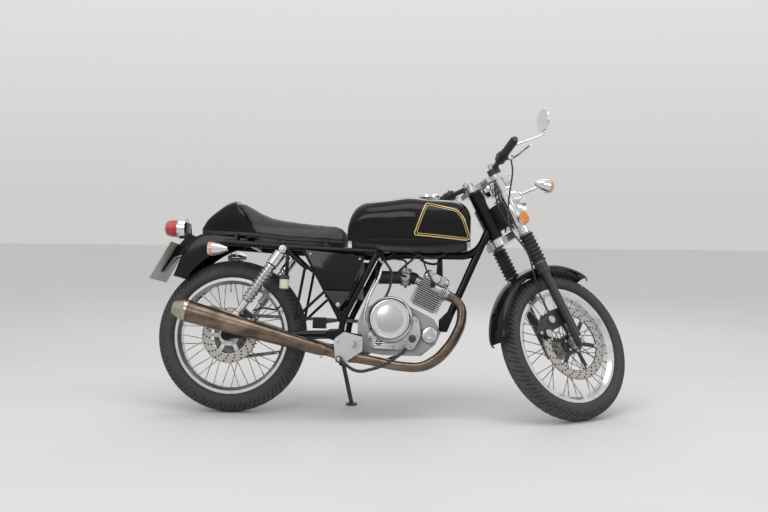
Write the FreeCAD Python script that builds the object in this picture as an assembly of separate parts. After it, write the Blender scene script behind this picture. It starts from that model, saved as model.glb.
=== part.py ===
import FreeCAD, Part
import math
import os

import Sketcher

# Cafe racer motorcycle. Every piece is drawn with the machine upright and the
# wheels in line: +X forward, +Y to the rider's left, +Z up, and the origin on
# the ground under the rear spindle. The finished pieces are then leaned onto
# the side stand, and the front end is turned to its left steering stop.

Vector = FreeCAD.Vector
Placement = FreeCAD.Placement
Rotation = FreeCAD.Rotation

os.makedirs("parts", exist_ok=True)
doc = FreeCAD.newDocument("CafeRacer")
sheet = doc.addObject("Spreadsheet::Sheet", "Sizes")

# Driving dimensions in millimetres and degrees
SIZES = [
    ("wheelbase", 1394), ("rake_angle", 27), ("trail", 85),
    ("lean_angle", 9.4), ("steer_stop", 38.5),
    ("rear_tyre_radius", 316.5), ("rear_tyre_half_width", 55),
    ("front_tyre_radius", 309.5), ("front_tyre_half_width", 45),
    ("rim_flange_radius", 242.5), ("rim_bed_radius", 222), ("rim_inner_radius", 216),
    ("rear_rim_half_width", 33.5), ("front_rim_half_width", 29),
    ("rim_wall", 3), ("bead_clearance", 0.4),
    ("spoke_count", 36), ("spoke_radius", 1.8),
    ("hub_radius", 27), ("hub_flange_radius", 44), ("hub_flange_half_gap", 30),
    ("hub_flange_thickness", 5), ("rear_hub_half_width", 76), ("front_hub_half_width", 62),
    ("spindle_radius", 8.5), ("spindle_clearance", 0.5),
    ("front_disc_radius", 155), ("rear_disc_radius", 115), ("disc_band", 38),
    ("disc_thickness", 5), ("disc_offset", 57), ("disc_hole_radius", 3.5),
    ("fork_spacing", 95), ("stanchion_radius", 15.5), ("slider_radius", 19),
    ("slider_top", 348), ("gaiter_top", 482), ("gaiter_radius", 32), ("gaiter_valley", 24),
    ("gaiter_folds", 8), ("lower_yoke_base", 484), ("lower_yoke_depth", 30),
    ("top_yoke_base", 737), ("top_yoke_depth", 20), ("clip_depth", 26), ("stanchion_top", 800),
    ("head_tube_radius", 28), ("main_tube_radius", 16), ("rail_radius", 13),
    ("frame_half_width", 108), ("bar_radius", 11), ("bar_end_half_span", 345),
    ("grip_radius", 16), ("grip_length", 118),
    ("tank_length", 535), ("tank_half_width", 140), ("tank_top", 908), ("tank_base", 706),
    ("seat_half_width", 116), ("seat_height", 780),
    ("chain_pitch", 15.875), ("rear_teeth", 36), ("front_teeth", 15),
    ("cylinder_lean", 25), ("fin_length", 124), ("fin_width", 128), ("fin_thickness", 2.6),
    ("fin_pitch", 8.6), ("barrel_fins", 8), ("head_fins", 6),
    ("silencer_rear_radius", 45), ("silencer_front_radius", 25), ("header_radius", 19),
    ("silencer_spread", 198), ("stand_tube_radius", 9), ("stand_spread", 130),
    ("stand_swing", 95),
    ("running_gap", 0.3), ("sprocket_side", 66.5), ("sprocket_thickness", 5),
    ("swingarm_spread", 99), ("shock_inside", 122), ("shock_outside", 150),
    ("footrest_plate_side", 184), ("footrest_plate_thickness", 8), ("port_spread", 38), ("port_rise", 26),
]
for row, (alias, amount) in enumerate(SIZES, start=1):
    sheet.set("A%d" % row, alias)
    sheet.set("B%d" % row, str(amount))
    sheet.setAlias("B%d" % row, alias)
doc.recompute()


class Sheet:
    """Reads a driving dimension by its name."""

    def __getattr__(self, alias):
        return float(sheet.get(alias))


S = Sheet()

ROOT = Vector(0, 0, 0)
LEFT = Vector(0, 1, 0)
UP = Vector(0, 0, 1)
AHEAD = Vector(1, 0, 0)

# Steering geometry: the steering axis runs up and back at the rake angle
rake = math.radians(S.rake_angle)
steer_axis = Vector(-math.sin(rake), 0, math.cos(rake))
fork_ahead = Vector(math.cos(rake), 0, math.sin(rake))
rear_centre = Vector(0, 0, S.rear_tyre_radius)
front_centre = Vector(S.wheelbase, 0, S.front_tyre_radius)
axis_ground = Vector(S.wheelbase + S.trail, 0, 0)
yoke_offset = (front_centre - axis_ground).dot(fork_ahead)


def fork_point(along, across=0.0, ahead=0.0):
    """A point on the fork: height along the legs, sideways and ahead of them."""
    return front_centre + steer_axis * along + LEFT * across + fork_ahead * ahead


def axis_point(along):
    """The point of the steering axis level with that height on the legs."""
    return fork_point(along, 0.0, -yoke_offset)


# Solids shared by many pieces
def rod(start, end, radius):
    span = end - start
    return Part.makeCylinder(radius, span.Length, start, span)


def tube(start, end, radius, bore):
    return rod(start, end, radius).cut(rod(start, end, bore))


def cone(start, end, first, last):
    span = end - start
    return Part.makeCone(first, last, span.Length, start, span)


def block(low, high):
    size = high - low
    return Part.makeBox(size.x, size.y, size.z, low)


def fuse(solids):
    first = solids[0]
    if len(solids) > 1:
        first = first.multiFuse(solids[1:])
    return first.removeSplitter()


def route(points, radius_share=0.45):
    """Straight runs joined by tangent arcs, as large as the runs allow."""
    edges = []
    start = points[0]
    for before, corner, after in zip(points, points[1:], points[2:]):
        inward = (before - corner).normalize()
        outward = (after - corner).normalize()
        turn = math.pi - inward.getAngle(outward)
        if turn < 0.01:
            continue
        cut = radius_share * min((before - corner).Length, (after - corner).Length)
        radius = cut / math.tan(turn / 2)
        bisector = (inward + outward).normalize()
        middle = corner + bisector * (radius / math.cos(turn / 2) - radius)
        first = corner + inward * cut
        last = corner + outward * cut
        edges.append(Part.LineSegment(start, first).toShape())
        edges.append(Part.Arc(first, middle, last).toShape())
        start = last
    edges.append(Part.LineSegment(start, points[-1]).toShape())
    return Part.Wire(edges)


def bent_tube(points, radius, radius_share=0.45):
    """A round bar or tube along a route of straight runs and tangent arcs."""
    path = route(points, radius_share)
    heading = points[1] - points[0]
    ring = Part.Wire(Part.Circle(points[0], heading, radius).toShape())
    return path.makePipeShell([ring], True, False)


def outline(points, plane="XZ", level=0.0):
    """A face through points given in one of the main planes."""
    if plane == "XZ":
        corners = [Vector(a, level, b) for a, b in points]
    elif plane == "XY":
        corners = [Vector(a, b, level) for a, b in points]
    else:
        corners = [Vector(level, a, b) for a, b in points]
    return Part.Face(Part.makePolygon(corners + corners[:1]))


def slab(points, low, high):
    """A side-view outline made solid between two distances to the left."""
    return outline(points, "XZ", low).extrude(LEFT * (high - low))


def mirrored(shape):
    return shape.mirror(ROOT, LEFT)


def both_sides(shape):
    return Part.makeCompound([shape, mirrored(shape)])


def revolved(points, centre, turns_about=LEFT):
    """A ring turned about a wheel's axis from (sideways, radius) points."""
    corners = [centre + LEFT * across + UP * radius for across, radius in points]
    face = Part.Face(Part.makePolygon(corners + corners[:1]))
    return face.revolve(centre, turns_about, 360)


def turned(points, start, heading):
    """A turned piece from (along, radius) points on an axis."""
    side = heading.cross(LEFT)
    if side.Length < 0.01:
        side = heading.cross(UP)
    side.normalize()
    unit = Vector(heading).normalize()
    corners = [start + unit * along + side * radius for along, radius in points]
    face = Part.Face(Part.makePolygon(corners + corners[:1]))
    return face.revolve(start, unit, 360)


# Stance: the lean that puts the stand's foot down and levels both contacts
def steer_placement():
    turn = Rotation(steer_axis, S.steer_stop)
    return Placement(axis_ground - turn.multVec(axis_ground), turn)


def lowest(placement, centre, axle, radius, crown):
    """Lowest point of a round-crowned tyre in the given placement."""
    middle = placement.multVec(centre)
    lean = placement.Rotation.multVec(axle)
    drop = (radius - crown) * math.sqrt(1 - lean.z ** 2) + crown
    return middle.z - drop


def stance_placement():
    steer = steer_placement()
    front_axle = steer.Rotation.multVec(LEFT)
    front_middle = steer.multVec(front_centre)
    pitch = 0.0
    for step in range(6):
        turn = Rotation(LEFT, pitch) * Rotation(AHEAD, -S.lean_angle)
        pose = Placement(ROOT, turn)
        rear_low = lowest(pose, rear_centre, LEFT, S.rear_tyre_radius, S.rear_tyre_half_width)
        front_low = lowest(pose, front_middle, front_axle, S.front_tyre_radius,
                           S.front_tyre_half_width)
        pitch += math.degrees((front_low - rear_low) / S.wheelbase)
    return Placement(Vector(0, 0, -rear_low), turn)


stance = stance_placement()
steered_stance = stance.multiply(steer_placement())

nodes = []


def node(label, shape, pose=stance):
    """One named piece of the machine, put into the parked stance."""
    piece = doc.addObject("Part::Feature", label)
    piece.Label = label
    piece.Shape = shape
    piece.Placement = pose.multiply(shape.Placement)
    nodes.append(piece)
    return piece


def fixed(label, shape):
    return node(label, shape, stance)


def steered(label, shape):
    return node(label, shape, steered_stance)


# Wheels
def tyre(centre, radius, half_width, rim_half_width):
    bead = rim_half_width - S.rim_wall - S.bead_clearance
    crown_centre = radius - half_width
    bead_radius = S.rim_flange_radius + S.bead_clearance * 3
    reach = half_width - bead
    drop = crown_centre - bead_radius
    wall_radius = (reach ** 2 + drop ** 2) / (2 * reach)
    corner = math.atan2(drop, reach - wall_radius)
    middle_angle = corner / 2
    wall_centre = half_width - wall_radius

    def place(across, up):
        return centre + LEFT * across + UP * up

    edges = []
    for side in (1, -1):
        top = place(side * half_width, crown_centre)
        middle = place(side * (wall_centre + wall_radius * math.cos(middle_angle)),
                       crown_centre - wall_radius * math.sin(middle_angle))
        low = place(side * bead, bead_radius)
        foot = place(side * bead, S.rim_bed_radius + 12)
        edges.append(Part.Arc(top, middle, low).toShape())
        edges.append(Part.LineSegment(low, foot).toShape())
    edges.append(Part.LineSegment(place(bead, S.rim_bed_radius + 12),
                                  place(-bead, S.rim_bed_radius + 12)).toShape())
    edges.append(Part.Arc(place(half_width, crown_centre), place(0, radius),
                          place(-half_width, crown_centre)).toShape())
    face = Part.Face(Part.Wire(Part.__sortEdges__(edges)))
    return face.revolve(centre, LEFT, 360)


def rim_and_spokes(centre, half_width, hub_half_width, hub_radius):
    inside = half_width - S.rim_wall
    section = [(-half_width, S.rim_flange_radius), (-inside, S.rim_flange_radius),
               (-inside, S.rim_bed_radius + 10), (-inside / 2, S.rim_bed_radius),
               (inside / 2, S.rim_bed_radius), (inside, S.rim_bed_radius + 10),
               (inside, S.rim_flange_radius), (half_width, S.rim_flange_radius),
               (half_width, S.rim_inner_radius + 14), (half_width * 0.55, S.rim_inner_radius),
               (-half_width * 0.55, S.rim_inner_radius), (-half_width, S.rim_inner_radius + 14)]
    rim = revolved(section, centre)
    gap = S.hub_flange_half_gap
    edge = gap + S.hub_flange_thickness
    bore = S.spindle_radius + S.spindle_clearance
    hub_section = [(-hub_half_width, bore), (-hub_half_width, hub_radius),
                   (-edge, hub_radius), (-edge, S.hub_flange_radius),
                   (-gap, S.hub_flange_radius), (-gap, hub_radius),
                   (gap, hub_radius), (gap, S.hub_flange_radius),
                   (edge, S.hub_flange_radius), (edge, hub_radius),
                   (hub_half_width, hub_radius), (hub_half_width, bore)]
    hub = revolved(hub_section, centre)
    spokes = []
    count = int(S.spoke_count)
    for number in range(count):
        side = 1 if number % 2 else -1
        sweep = 1 if (number // 2) % 2 else -1
        outer = math.radians(360.0 * number / count)
        inner = outer + sweep * math.radians(62)
        hub_end = S.hub_flange_radius - 5
        rim_end = S.rim_inner_radius + 3
        start = centre + Vector(hub_end * math.cos(inner), side * (gap + 2.5),
                                hub_end * math.sin(inner))
        end = centre + Vector(rim_end * math.cos(outer), side * half_width * 0.15,
                              rim_end * math.sin(outer))
        spokes.append(rod(start, end, S.spoke_radius))
    return fuse([rim, hub] + spokes)


def disc(centre, radius, side, arms):
    low = side * S.disc_offset
    band = revolved([(low, radius), (low + side * S.disc_thickness, radius),
                     (low + side * S.disc_thickness, radius - S.disc_band),
                     (low, radius - S.disc_band)], centre)
    inner = S.hub_radius + S.running_gap
    eye = revolved([(low, inner), (low, inner + 16),
                    (low + side * S.disc_thickness, inner + 16),
                    (low + side * S.disc_thickness, inner)], centre)
    pieces = [band, eye]
    for number in range(arms):
        angle = 360.0 * number / arms
        reach = radius - S.disc_band + 3 - (inner + 13)
        arm = Part.makeBox(reach, S.disc_thickness, 16,
                           Vector(inner + 13, min(low, low + side * S.disc_thickness), -8))
        arm.rotate(ROOT, LEFT, angle)
        arm.translate(centre)
        pieces.append(arm)
    return fuse(pieces)


def sprocket(centre, teeth, side_low, thickness, bore):
    pitch_radius = S.chain_pitch / (2 * math.sin(math.pi / teeth))
    root = pitch_radius - S.chain_pitch * 0.34
    tip = pitch_radius + S.chain_pitch * 0.22
    points = []
    for number in range(teeth):
        middle = 2 * math.pi * number / teeth
        step = 2 * math.pi / teeth
        for share, radius in ((-0.27, root), (-0.09, tip), (0.09, tip), (0.27, root)):
            angle = middle + share * step
            points.append((centre.x + radius * math.cos(angle),
                           centre.z + radius * math.sin(angle)))
    plate = slab(points, side_low, side_low + thickness)
    hole = rod(centre + LEFT * (side_low - 1), centre + LEFT * (side_low + thickness + 1), bore)
    return plate.cut(hole)


# Rear wheel and front wheel
node("rear_tyre", tyre(rear_centre, S.rear_tyre_radius, S.rear_tyre_half_width,
                       S.rear_rim_half_width))
node("rear_rim", rim_and_spokes(rear_centre, S.rear_rim_half_width, S.rear_hub_half_width,
                                S.hub_radius))
node("rear_disc", disc(rear_centre, S.rear_disc_radius, -1, 6))
node("rear_sprocket", sprocket(rear_centre, int(S.rear_teeth), S.sprocket_side,
                               S.sprocket_thickness, S.hub_radius + S.running_gap))
steered("front_tyre", tyre(front_centre, S.front_tyre_radius, S.front_tyre_half_width,
                           S.front_rim_half_width))
steered("front_rim", rim_and_spokes(front_centre, S.front_rim_half_width,
                                    S.front_hub_half_width, S.hub_radius))
steered("front_disc", disc(front_centre, S.front_disc_radius, -1, 6))


# Frame
def frame():
    head = tube(axis_point(519), axis_point(731), S.head_tube_radius, S.head_tube_radius - 10)
    down = rod(Vector(1067, 0, 784), Vector(900, 0, 395), S.main_tube_radius)
    spine = bent_tube([Vector(1075, 0, 775), Vector(1005, 0, 668), Vector(700, 0, 668),
                       Vector(610, 0, 655)], S.main_tube_radius, 0.4)
    cross = rod(Vector(612, -S.frame_half_width, 655), Vector(612, S.frame_half_width, 655),
                S.main_tube_radius)
    legs = []
    for side in (-1, 1):
        across = side * S.frame_half_width
        legs.append(bent_tube([Vector(612, across, 660), Vector(478, across, 385),
                               Vector(470, across, 250)], S.rail_radius, 0.3))
    lower = rod(Vector(470, -S.frame_half_width, 262), Vector(470, S.frame_half_width, 262),
                S.rail_radius - 3)
    bosses = []
    for side in (-1, 1):
        bosses.append(rod(Vector(474, side * S.frame_half_width, 300),
                          Vector(474, side * S.footrest_plate_side, 300), 10))
    lug = rod(stand_pivot - stand_axis * 26, stand_pivot - stand_axis * 10.5, 14)
    strut = rod(Vector(470, 98, 262), stand_pivot - stand_axis * 21, 9)
    hole = rod(axis_point(500), axis_point(760), S.head_tube_radius - 10)
    bars = [head, down, spine, cross, lower, lug, strut]
    return fuse(bars + legs + bosses + seat_rails()).cut(hole)


def seat_rails():
    rails = []
    for side in (-1, 1):
        across = side * S.frame_half_width
        rails.append(bent_tube([Vector(612, across, 665), Vector(300, across, 680),
                                Vector(-20, across, 700)], S.rail_radius, 0.3))
        rails.append(rod(Vector(312, across, 680), Vector(474, across, 386), S.rail_radius - 1))
        rails.append(rod(Vector(229, across, 671), Vector(229, side * S.shock_inside, 671), 9))
    rails.append(rod(Vector(84, -S.frame_half_width, 692), Vector(84, S.frame_half_width, 692),
                     S.rail_radius - 3))
    return rails


# Side stand: it swings back and up on a bolt under the left of the frame
stand_pivot = Vector(452, S.stand_spread, 222)
stand_axis = Vector(0, 0.94, 0.34).normalize()
fixed("frame", frame())


def swingarm():
    pieces = [rod(Vector(430, -90, 330), Vector(430, 90, 330), 20)]
    for side in (-1, 1):
        across = side * S.swingarm_spread
        pieces.append(rod(Vector(430, across, 330), Vector(0, across, 316.5), 15))
        pieces.append(rod(Vector(0, across - 10, 316.5), Vector(0, across + 10, 316.5), 24))
        low = side * S.swingarm_spread
        high = side * S.shock_inside
        pieces.append(slab([(14, 318), (74, 320), (58, 404), (30, 404)], low, high))
    pieces.append(rod(rear_centre - LEFT * 116, rear_centre + LEFT * 116, S.spindle_radius))
    return fuse(pieces)


fixed("swingarm", swingarm())


# Engine
def engine_case():
    points = [(540, 300), (560, 262), (640, 250), (790, 250), (850, 300), (872, 350),
              (845, 402), (790, 430), (722, 462), (640, 470), (560, 440), (538, 380)]
    whole = slab(points, -84, 84)
    bay = block(Vector(520, 56, 230), Vector(636, 90, 480))
    return whole.cut(bay)


fixed("engine_case", engine_case())


def engine_covers():
    clutch = rod(Vector(675, -84.0, 394), Vector(675, -128, 394), 92)
    clutch = clutch.fuse(rod(Vector(675, -128, 394), Vector(675, -146, 394), 79))
    lower = slab([(580, 330), (600, 275), (770, 272), (800, 330), (790, 400), (700, 440)],
                 -112, -84.0)
    small = rod(Vector(835, -84.0, 334), Vector(835, -118, 334), 33)
    generator = rod(Vector(700, 84.0, 370), Vector(700, 130, 370), 85)
    gear_cover = slab([(556, 300), (650, 290), (650, 430), (556, 420)], 84.0, 112)
    right = fuse([clutch, lower, small])
    left = fuse([generator, gear_cover])
    return Part.makeCompound([right, left])


fixed("engine_covers", engine_covers())

lean = math.radians(S.cylinder_lean)
bore_axis = Vector(math.sin(lean), 0, math.cos(lean))
bore_ahead = Vector(math.cos(lean), 0, -math.sin(lean))
barrel_base = Vector(797, 0, 446)
barrel_height = S.barrel_fins * S.fin_pitch
head_height = S.head_fins * S.fin_pitch


def plate_on_axis(base, start, thickness, length, width):
    corner = base + bore_axis * start - bore_ahead * (length / 2) - LEFT * (width / 2)
    box = Part.makeBox(length, width, thickness)
    box.Placement = Placement(corner, Rotation(LEFT, S.cylinder_lean))
    return box


def finned(base, count, length, width, core_length, core_width, shrink=0.0):
    height = count * S.fin_pitch
    pieces = [plate_on_axis(base, 0, height, core_length, core_width)]
    for number in range(int(count)):
        level = number * S.fin_pitch + S.fin_pitch - S.fin_thickness
        cut = shrink * number
        pieces.append(plate_on_axis(base, level, S.fin_thickness, length - cut, width - cut))
    return fuse(pieces)


fixed("cylinder", finned(barrel_base, S.barrel_fins, S.fin_length, S.fin_width, 92, 92))
head_base = barrel_base + bore_axis * barrel_height


def cylinder_head():
    head = finned(head_base, S.head_fins, S.fin_length - 4, S.fin_width - 4, 96, 84, 3.0)
    cover = plate_on_axis(head_base + bore_axis * head_height, -0.01, 32, 78, 92)
    port = head_base + bore_axis * S.port_rise
    ports = []
    for side in (-S.port_spread, S.port_spread):
        ports.append(rod(port + LEFT * side, port + LEFT * side + bore_ahead * 74, 22))
    inlet = rod(head_base + bore_axis * 28, head_base + bore_axis * 28 - bore_ahead * 78, 20)
    return fuse([head, cover, inlet] + ports)


fixed("cylinder_head", cylinder_head())


def intake():
    start = head_base + bore_axis * 28 - bore_ahead * 78
    bend = start - bore_ahead * 16
    body = bend - AHEAD * 28
    pieces = [rod(start, bend + bore_ahead * -6, 24), rod(bend, body, 24),
              rod(body - UP * 34, body + UP * 40, 27),
              rod(body, Vector(600, 0, body.z), 28)]
    return fuse(pieces)


fixed("intake", intake())
fixed("battery_box", block(Vector(400, -90, 480), Vector(540, 90, 640)))


# Exhaust
def header_points(side):
    port = head_base + bore_axis * S.port_rise + bore_ahead * 74 + LEFT * (side * S.port_spread)
    front, rear = silencer_line(side)
    run_in = (rear - front).normalize() * -34
    return [port, port + bore_ahead * 26, Vector(962, side * 44, 452), Vector(960, side * 52, 385),
            Vector(923, side * 68, 306), Vector(868, side * 84, 240), Vector(800, side * 98, 201),
            Vector(700, side * 108, 206), Vector(600, side * 118, 226), Vector(510, side * 140, 238),
            front + run_in, front]


def silencer_line(side):
    return (Vector(420, side * 166, 261), Vector(-200, side * S.silencer_spread, 422))


def header(side):
    return bent_tube(header_points(side), S.header_radius)


def silencer(side):
    front, rear = silencer_line(side)
    span = rear - front
    long = span.Length
    big = S.silencer_rear_radius
    small = S.silencer_front_radius
    points = [(0, 0), (0, small - 3), (24, small), (long - 52, big), (long - 46, big + 1.5),
              (long - 2, 27), (long, 25), (long, 18), (long - 30, 16), (long - 30, 0)]
    return turned(points, front, span)


fixed("exhaust_headers", Part.makeCompound([header(-1), header(1)]))
fixed("silencers", Part.makeCompound([silencer(-1), silencer(1)]))


# Tank, seat and bodywork
def section_wire(station, half, low, high, shoulder, crown):
    """Cross section of the tank: flat base, straight-ish sides, arched top."""
    low_half = half * 0.92
    points = [Vector(station, -low_half, low), Vector(station, low_half, low),
              Vector(station, half, shoulder), Vector(station, 0, high),
              Vector(station, -half, shoulder)]
    base = Part.LineSegment(points[0], points[1]).toShape()
    left_side = Part.LineSegment(points[1], points[2]).toShape()
    bow_left = Vector(station, half * 0.80, shoulder + (high - shoulder) * crown)
    bow_right = Vector(station, -half * 0.80, shoulder + (high - shoulder) * crown)
    curve = Part.BSplineCurve()
    curve.interpolate([points[2], bow_left, points[3], bow_right, points[4]])
    right_side = Part.LineSegment(points[4], points[0]).toShape()
    return Part.Wire([base, left_side, curve.toShape(), right_side])


def tank():
    stations = [(486, 84, 716, 792, 746, 0.75), (520, 96, 712, 868, 780, 0.72),
                (600, 112, 704, 893, 800, 0.72), (740, 138, 700, 908, 812, 0.72),
                (880, 140, 704, 897, 806, 0.72), (962, 122, 712, 880, 800, 0.72),
                (992, 98, 716, 826, 775, 0.72)]
    wires = [section_wire(*station) for station in stations]
    return Part.makeLoft(wires, True, False)


fixed("fuel_tank", tank())
fixed("filler_cap", turned([(0, 0), (0, 44), (10, 44), (15, 38), (15, 0)],
                           Vector(816, 0, S.tank_top + 1), UP))


def seat_side():
    top = [Vector(22, 0, 872), Vector(84.6, 0, 842), Vector(127, 0, 818), Vector(177, 0, 799),
           Vector(231, 0, 789), Vector(334, 0, 776), Vector(464, 0, 767)]
    curve = Part.BSplineCurve()
    curve.interpolate(top)
    edges = [curve.toShape(), Part.LineSegment(top[-1], Vector(470, 0, 716)).toShape(),
             Part.LineSegment(Vector(470, 0, 716), Vector(236, 0, 724)).toShape(),
             Part.LineSegment(Vector(236, 0, 724), Vector(107, 0, 739)).toShape(),
             Part.LineSegment(Vector(107, 0, 739), top[0]).toShape()]
    face = Part.Face(Part.Wire(edges))
    half = S.seat_half_width
    return face.extrude(LEFT * (2 * half)).translated(LEFT * -half)


def seat_plan():
    points = [(10, -112), (200, -118), (360, -112), (475, -92), (475, 92), (360, 112),
              (200, 118), (10, 112)]
    return outline(points, "XY", 700).extrude(UP * 220)


fixed("seat", seat_side().common(seat_plan()))


def seat_hump():
    edge_low = Vector(106.4, 0, 739)
    edge_high = Vector(21.4, 0, 872.4)
    back = [edge_high, Vector(8, 0, 887), Vector(-20, 0, 880), Vector(-54, 0, 859),
            Vector(-110, 0, 811), Vector(-140, 0, 752)]
    curve = Part.BSplineCurve()
    curve.interpolate(back)
    edges = [curve.toShape(), Part.LineSegment(back[-1], Vector(-60, 0, 748)).toShape(),
             Part.LineSegment(Vector(-60, 0, 748), edge_low).toShape(),
             Part.LineSegment(edge_low, edge_high).toShape()]
    face = Part.Face(Part.Wire(edges))
    body = face.extrude(LEFT * 240).translated(LEFT * -120)
    plan = outline([(110, -118), (0, -108), (-90, -84), (-142, -55), (-142, 55), (-90, 84),
                    (0, 108), (110, 118)], "XY", 700).extrude(UP * 220)
    return body.common(plan)


fixed("seat_hump", seat_hump())


def side_panels():
    panel = slab([(318, 668), (570, 645), (514, 508), (403, 508)], -150, -136)
    lower = slab([(405, 505), (514, 499), (466, 427)], -146, -136)
    right = [panel, lower]
    return Part.makeCompound(right + [mirrored(piece) for piece in right])


fixed("side_panels", side_panels())


def rear_mudguard():
    outer = slab([(60, 735), (-120, 744), (-165, 735), (-215, 655), (-252, 560), (-186, 552),
                  (-141, 608), (-49, 673), (60, 710)], -78, 78)
    inner = slab([(70, 732), (-119, 741), (-163, 732.5), (-212, 654.4), (-249, 559.6),
                  (-252, 500), (70, 500)], -75, 75)
    lamp_seat = slab([(-315.98, 578.53), (-255.38, 687.86), (-219, 720), (-219, 792), (-207, 792),
                      (-205, 742), (-165, 735), (-215, 655), (-262, 645), (-310.73, 575.62)],
                     -25, 25)
    return outer.cut(inner).fuse(lamp_seat).removeSplitter()


fixed("rear_mudguard", rear_mudguard())


def tail_lamp():
    base = turned([(0, 0), (0, 44), (24, 46), (32, 46), (32, 0)], Vector(-219, 0, 768), -AHEAD)
    lens = turned([(32, 0), (32, 37), (60, 35), (88, 28), (92, 0)], Vector(-219, 0, 768), -AHEAD)
    return fuse([base, lens])


fixed("tail_lamp", tail_lamp())


def number_plate():
    plate = Part.makeBox(3, 229, 178, Vector(0, -114.5, 0))
    plate.Placement = Placement(Vector(-338, 0, 545), Rotation(LEFT, 29))
    return plate


fixed("number_plate", number_plate())


def indicator(tip, heading, stem_end):
    bullet = turned([(0, 0), (0, 27), (10, 29), (14, 29), (50, 22), (78, 9), (80, 0)], tip, heading)
    stem = rod(tip + heading * 40, stem_end, 6)
    return fuse([bullet, stem])


rear_right = indicator(Vector(-72, -172, 664), AHEAD, Vector(-32, -84, 690))
fixed("rear_indicators", both_sides(rear_right))


def shock(side):
    across = side * (S.shock_inside + S.shock_outside) / 2
    half = (S.shock_outside - S.shock_inside) / 2
    top = Vector(229, across, 671)
    low = Vector(44, across, 397)
    span = low - top
    long = span.Length
    points = [(18, 0), (18, 25), (75, 25), (75, 18)]
    coils = 11
    first = 78.0
    pitch = (long - 150) / coils
    for number in range(coils):
        start = first + number * pitch
        points += [(start, 19), (start + pitch * 0.25, 25), (start + pitch * 0.5, 25),
                   (start + pitch * 0.75, 19)]
    points += [(long - 70, 16), (long - 18, 16), (long - 18, 0)]
    body = turned(points, top, span)
    eyes = [rod(end - LEFT * half, end + LEFT * half, 15) for end in (top, low)]
    necks = rod(top, low, 9)
    return fuse([body, necks] + eyes)


fixed("rear_shocks", Part.makeCompound([shock(-1), shock(1)]))


def footrests():
    inside = S.footrest_plate_side
    outside = inside + S.footrest_plate_thickness
    plate = slab([(458, 292), (462, 310), (498, 337), (573, 318), (573, 262), (500, 214),
                  (468, 214)], -outside, -inside)
    peg = rod(Vector(535, -inside, 290), Vector(535, -262, 290), 13)
    return both_sides(fuse([peg, plate]))


fixed("footrests", footrests())


def brake_pedal():
    side = -S.footrest_plate_side - S.footrest_plate_thickness
    path = [Vector(482, side - 12, 228), Vector(555, side - 12, 176), Vector(659, side - 14, 205),
            Vector(738, side - 20, 262)]
    arm = bent_tube(path, 6.5, 0.4)
    pad = block(Vector(730, side - 40, 255), Vector(757, side, 268))
    pad.rotate(Vector(738, side - 20, 262), LEFT, -60)
    pivot = rod(Vector(482, side - 22, 228), Vector(482, side, 228), 13)
    return fuse([arm, pad, pivot])


def gear_lever():
    side = S.footrest_plate_side + S.footrest_plate_thickness
    path = [Vector(482, side + 12, 232), Vector(600, side + 12, 218), Vector(735, side + 14, 272)]
    arm = bent_tube(path, 6.0, 0.4)
    peg = rod(Vector(735, side + 4, 272), Vector(735, side + 50, 272), 10)
    pivot = rod(Vector(482, side, 232), Vector(482, side + 22, 232), 12)
    return fuse([arm, peg, pivot])


fixed("foot_pedals", Part.makeCompound([brake_pedal(), gear_lever()]))


# Chain between the gearbox and the rear wheel
def chain():
    rear_pitch = S.chain_pitch / (2 * math.sin(math.pi / S.rear_teeth))
    front_pitch = S.chain_pitch / (2 * math.sin(math.pi / S.front_teeth))
    shaft = Vector(585, 0, 350)
    span = shaft - rear_centre
    tilt = math.atan2(span.z, span.x)
    spread = math.asin((rear_pitch - front_pitch) / span.Length)

    def loop(offset):
        big = rear_pitch + offset
        little = front_pitch + offset
        up_angle = tilt + math.pi / 2 - spread
        down_angle = tilt - math.pi / 2 + spread

        def at(centre, radius, angle):
            return Vector(centre.x + radius * math.cos(angle), 0,
                          centre.z + radius * math.sin(angle))

        a = at(rear_centre, big, up_angle)
        b = at(shaft, little, up_angle)
        c = at(shaft, little, down_angle)
        d = at(rear_centre, big, down_angle)
        return Part.Wire([Part.LineSegment(a, b).toShape(),
                          Part.Arc(b, at(shaft, little, tilt), c).toShape(),
                          Part.LineSegment(c, d).toShape(),
                          Part.Arc(d, at(rear_centre, big, tilt + math.pi), a).toShape()])

    face = Part.Face(loop(7.0)).cut(Part.Face(loop(-7.0)))
    plates = []
    middle = S.sprocket_side + S.sprocket_thickness / 2
    for low in (middle - 7, middle + 4):
        plates.append(face.extrude(LEFT * 3).translated(LEFT * low))
    return Part.makeCompound(plates)


fixed("chain", chain())


def caliper(centre, radius, bearing, size):
    """A brake caliper that straddles a disc without touching it."""
    angle = math.radians(bearing)
    away = Vector(math.cos(angle), 0, math.sin(angle))
    middle = centre + away * (radius - 14) - LEFT * (S.disc_offset + S.disc_thickness / 2)
    body = Part.makeBox(46, 44, size, Vector(-23, -22, -size / 2))
    slot = Part.makeBox(60, S.disc_thickness + 3, size + 2,
                        Vector(-46, -S.disc_thickness / 2 - 1.5, -size / 2 - 1))
    body = body.cut(slot)
    body.Placement = Placement(middle, Rotation(LEFT, -bearing))
    return body


def rear_brake():
    reservoir = rod(Vector(241, -150, 507), Vector(241, -150, 560), 19)
    return Part.makeCompound([caliper(rear_centre, S.rear_disc_radius, 48, 76), reservoir])


fixed("rear_brake", rear_brake())


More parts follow.
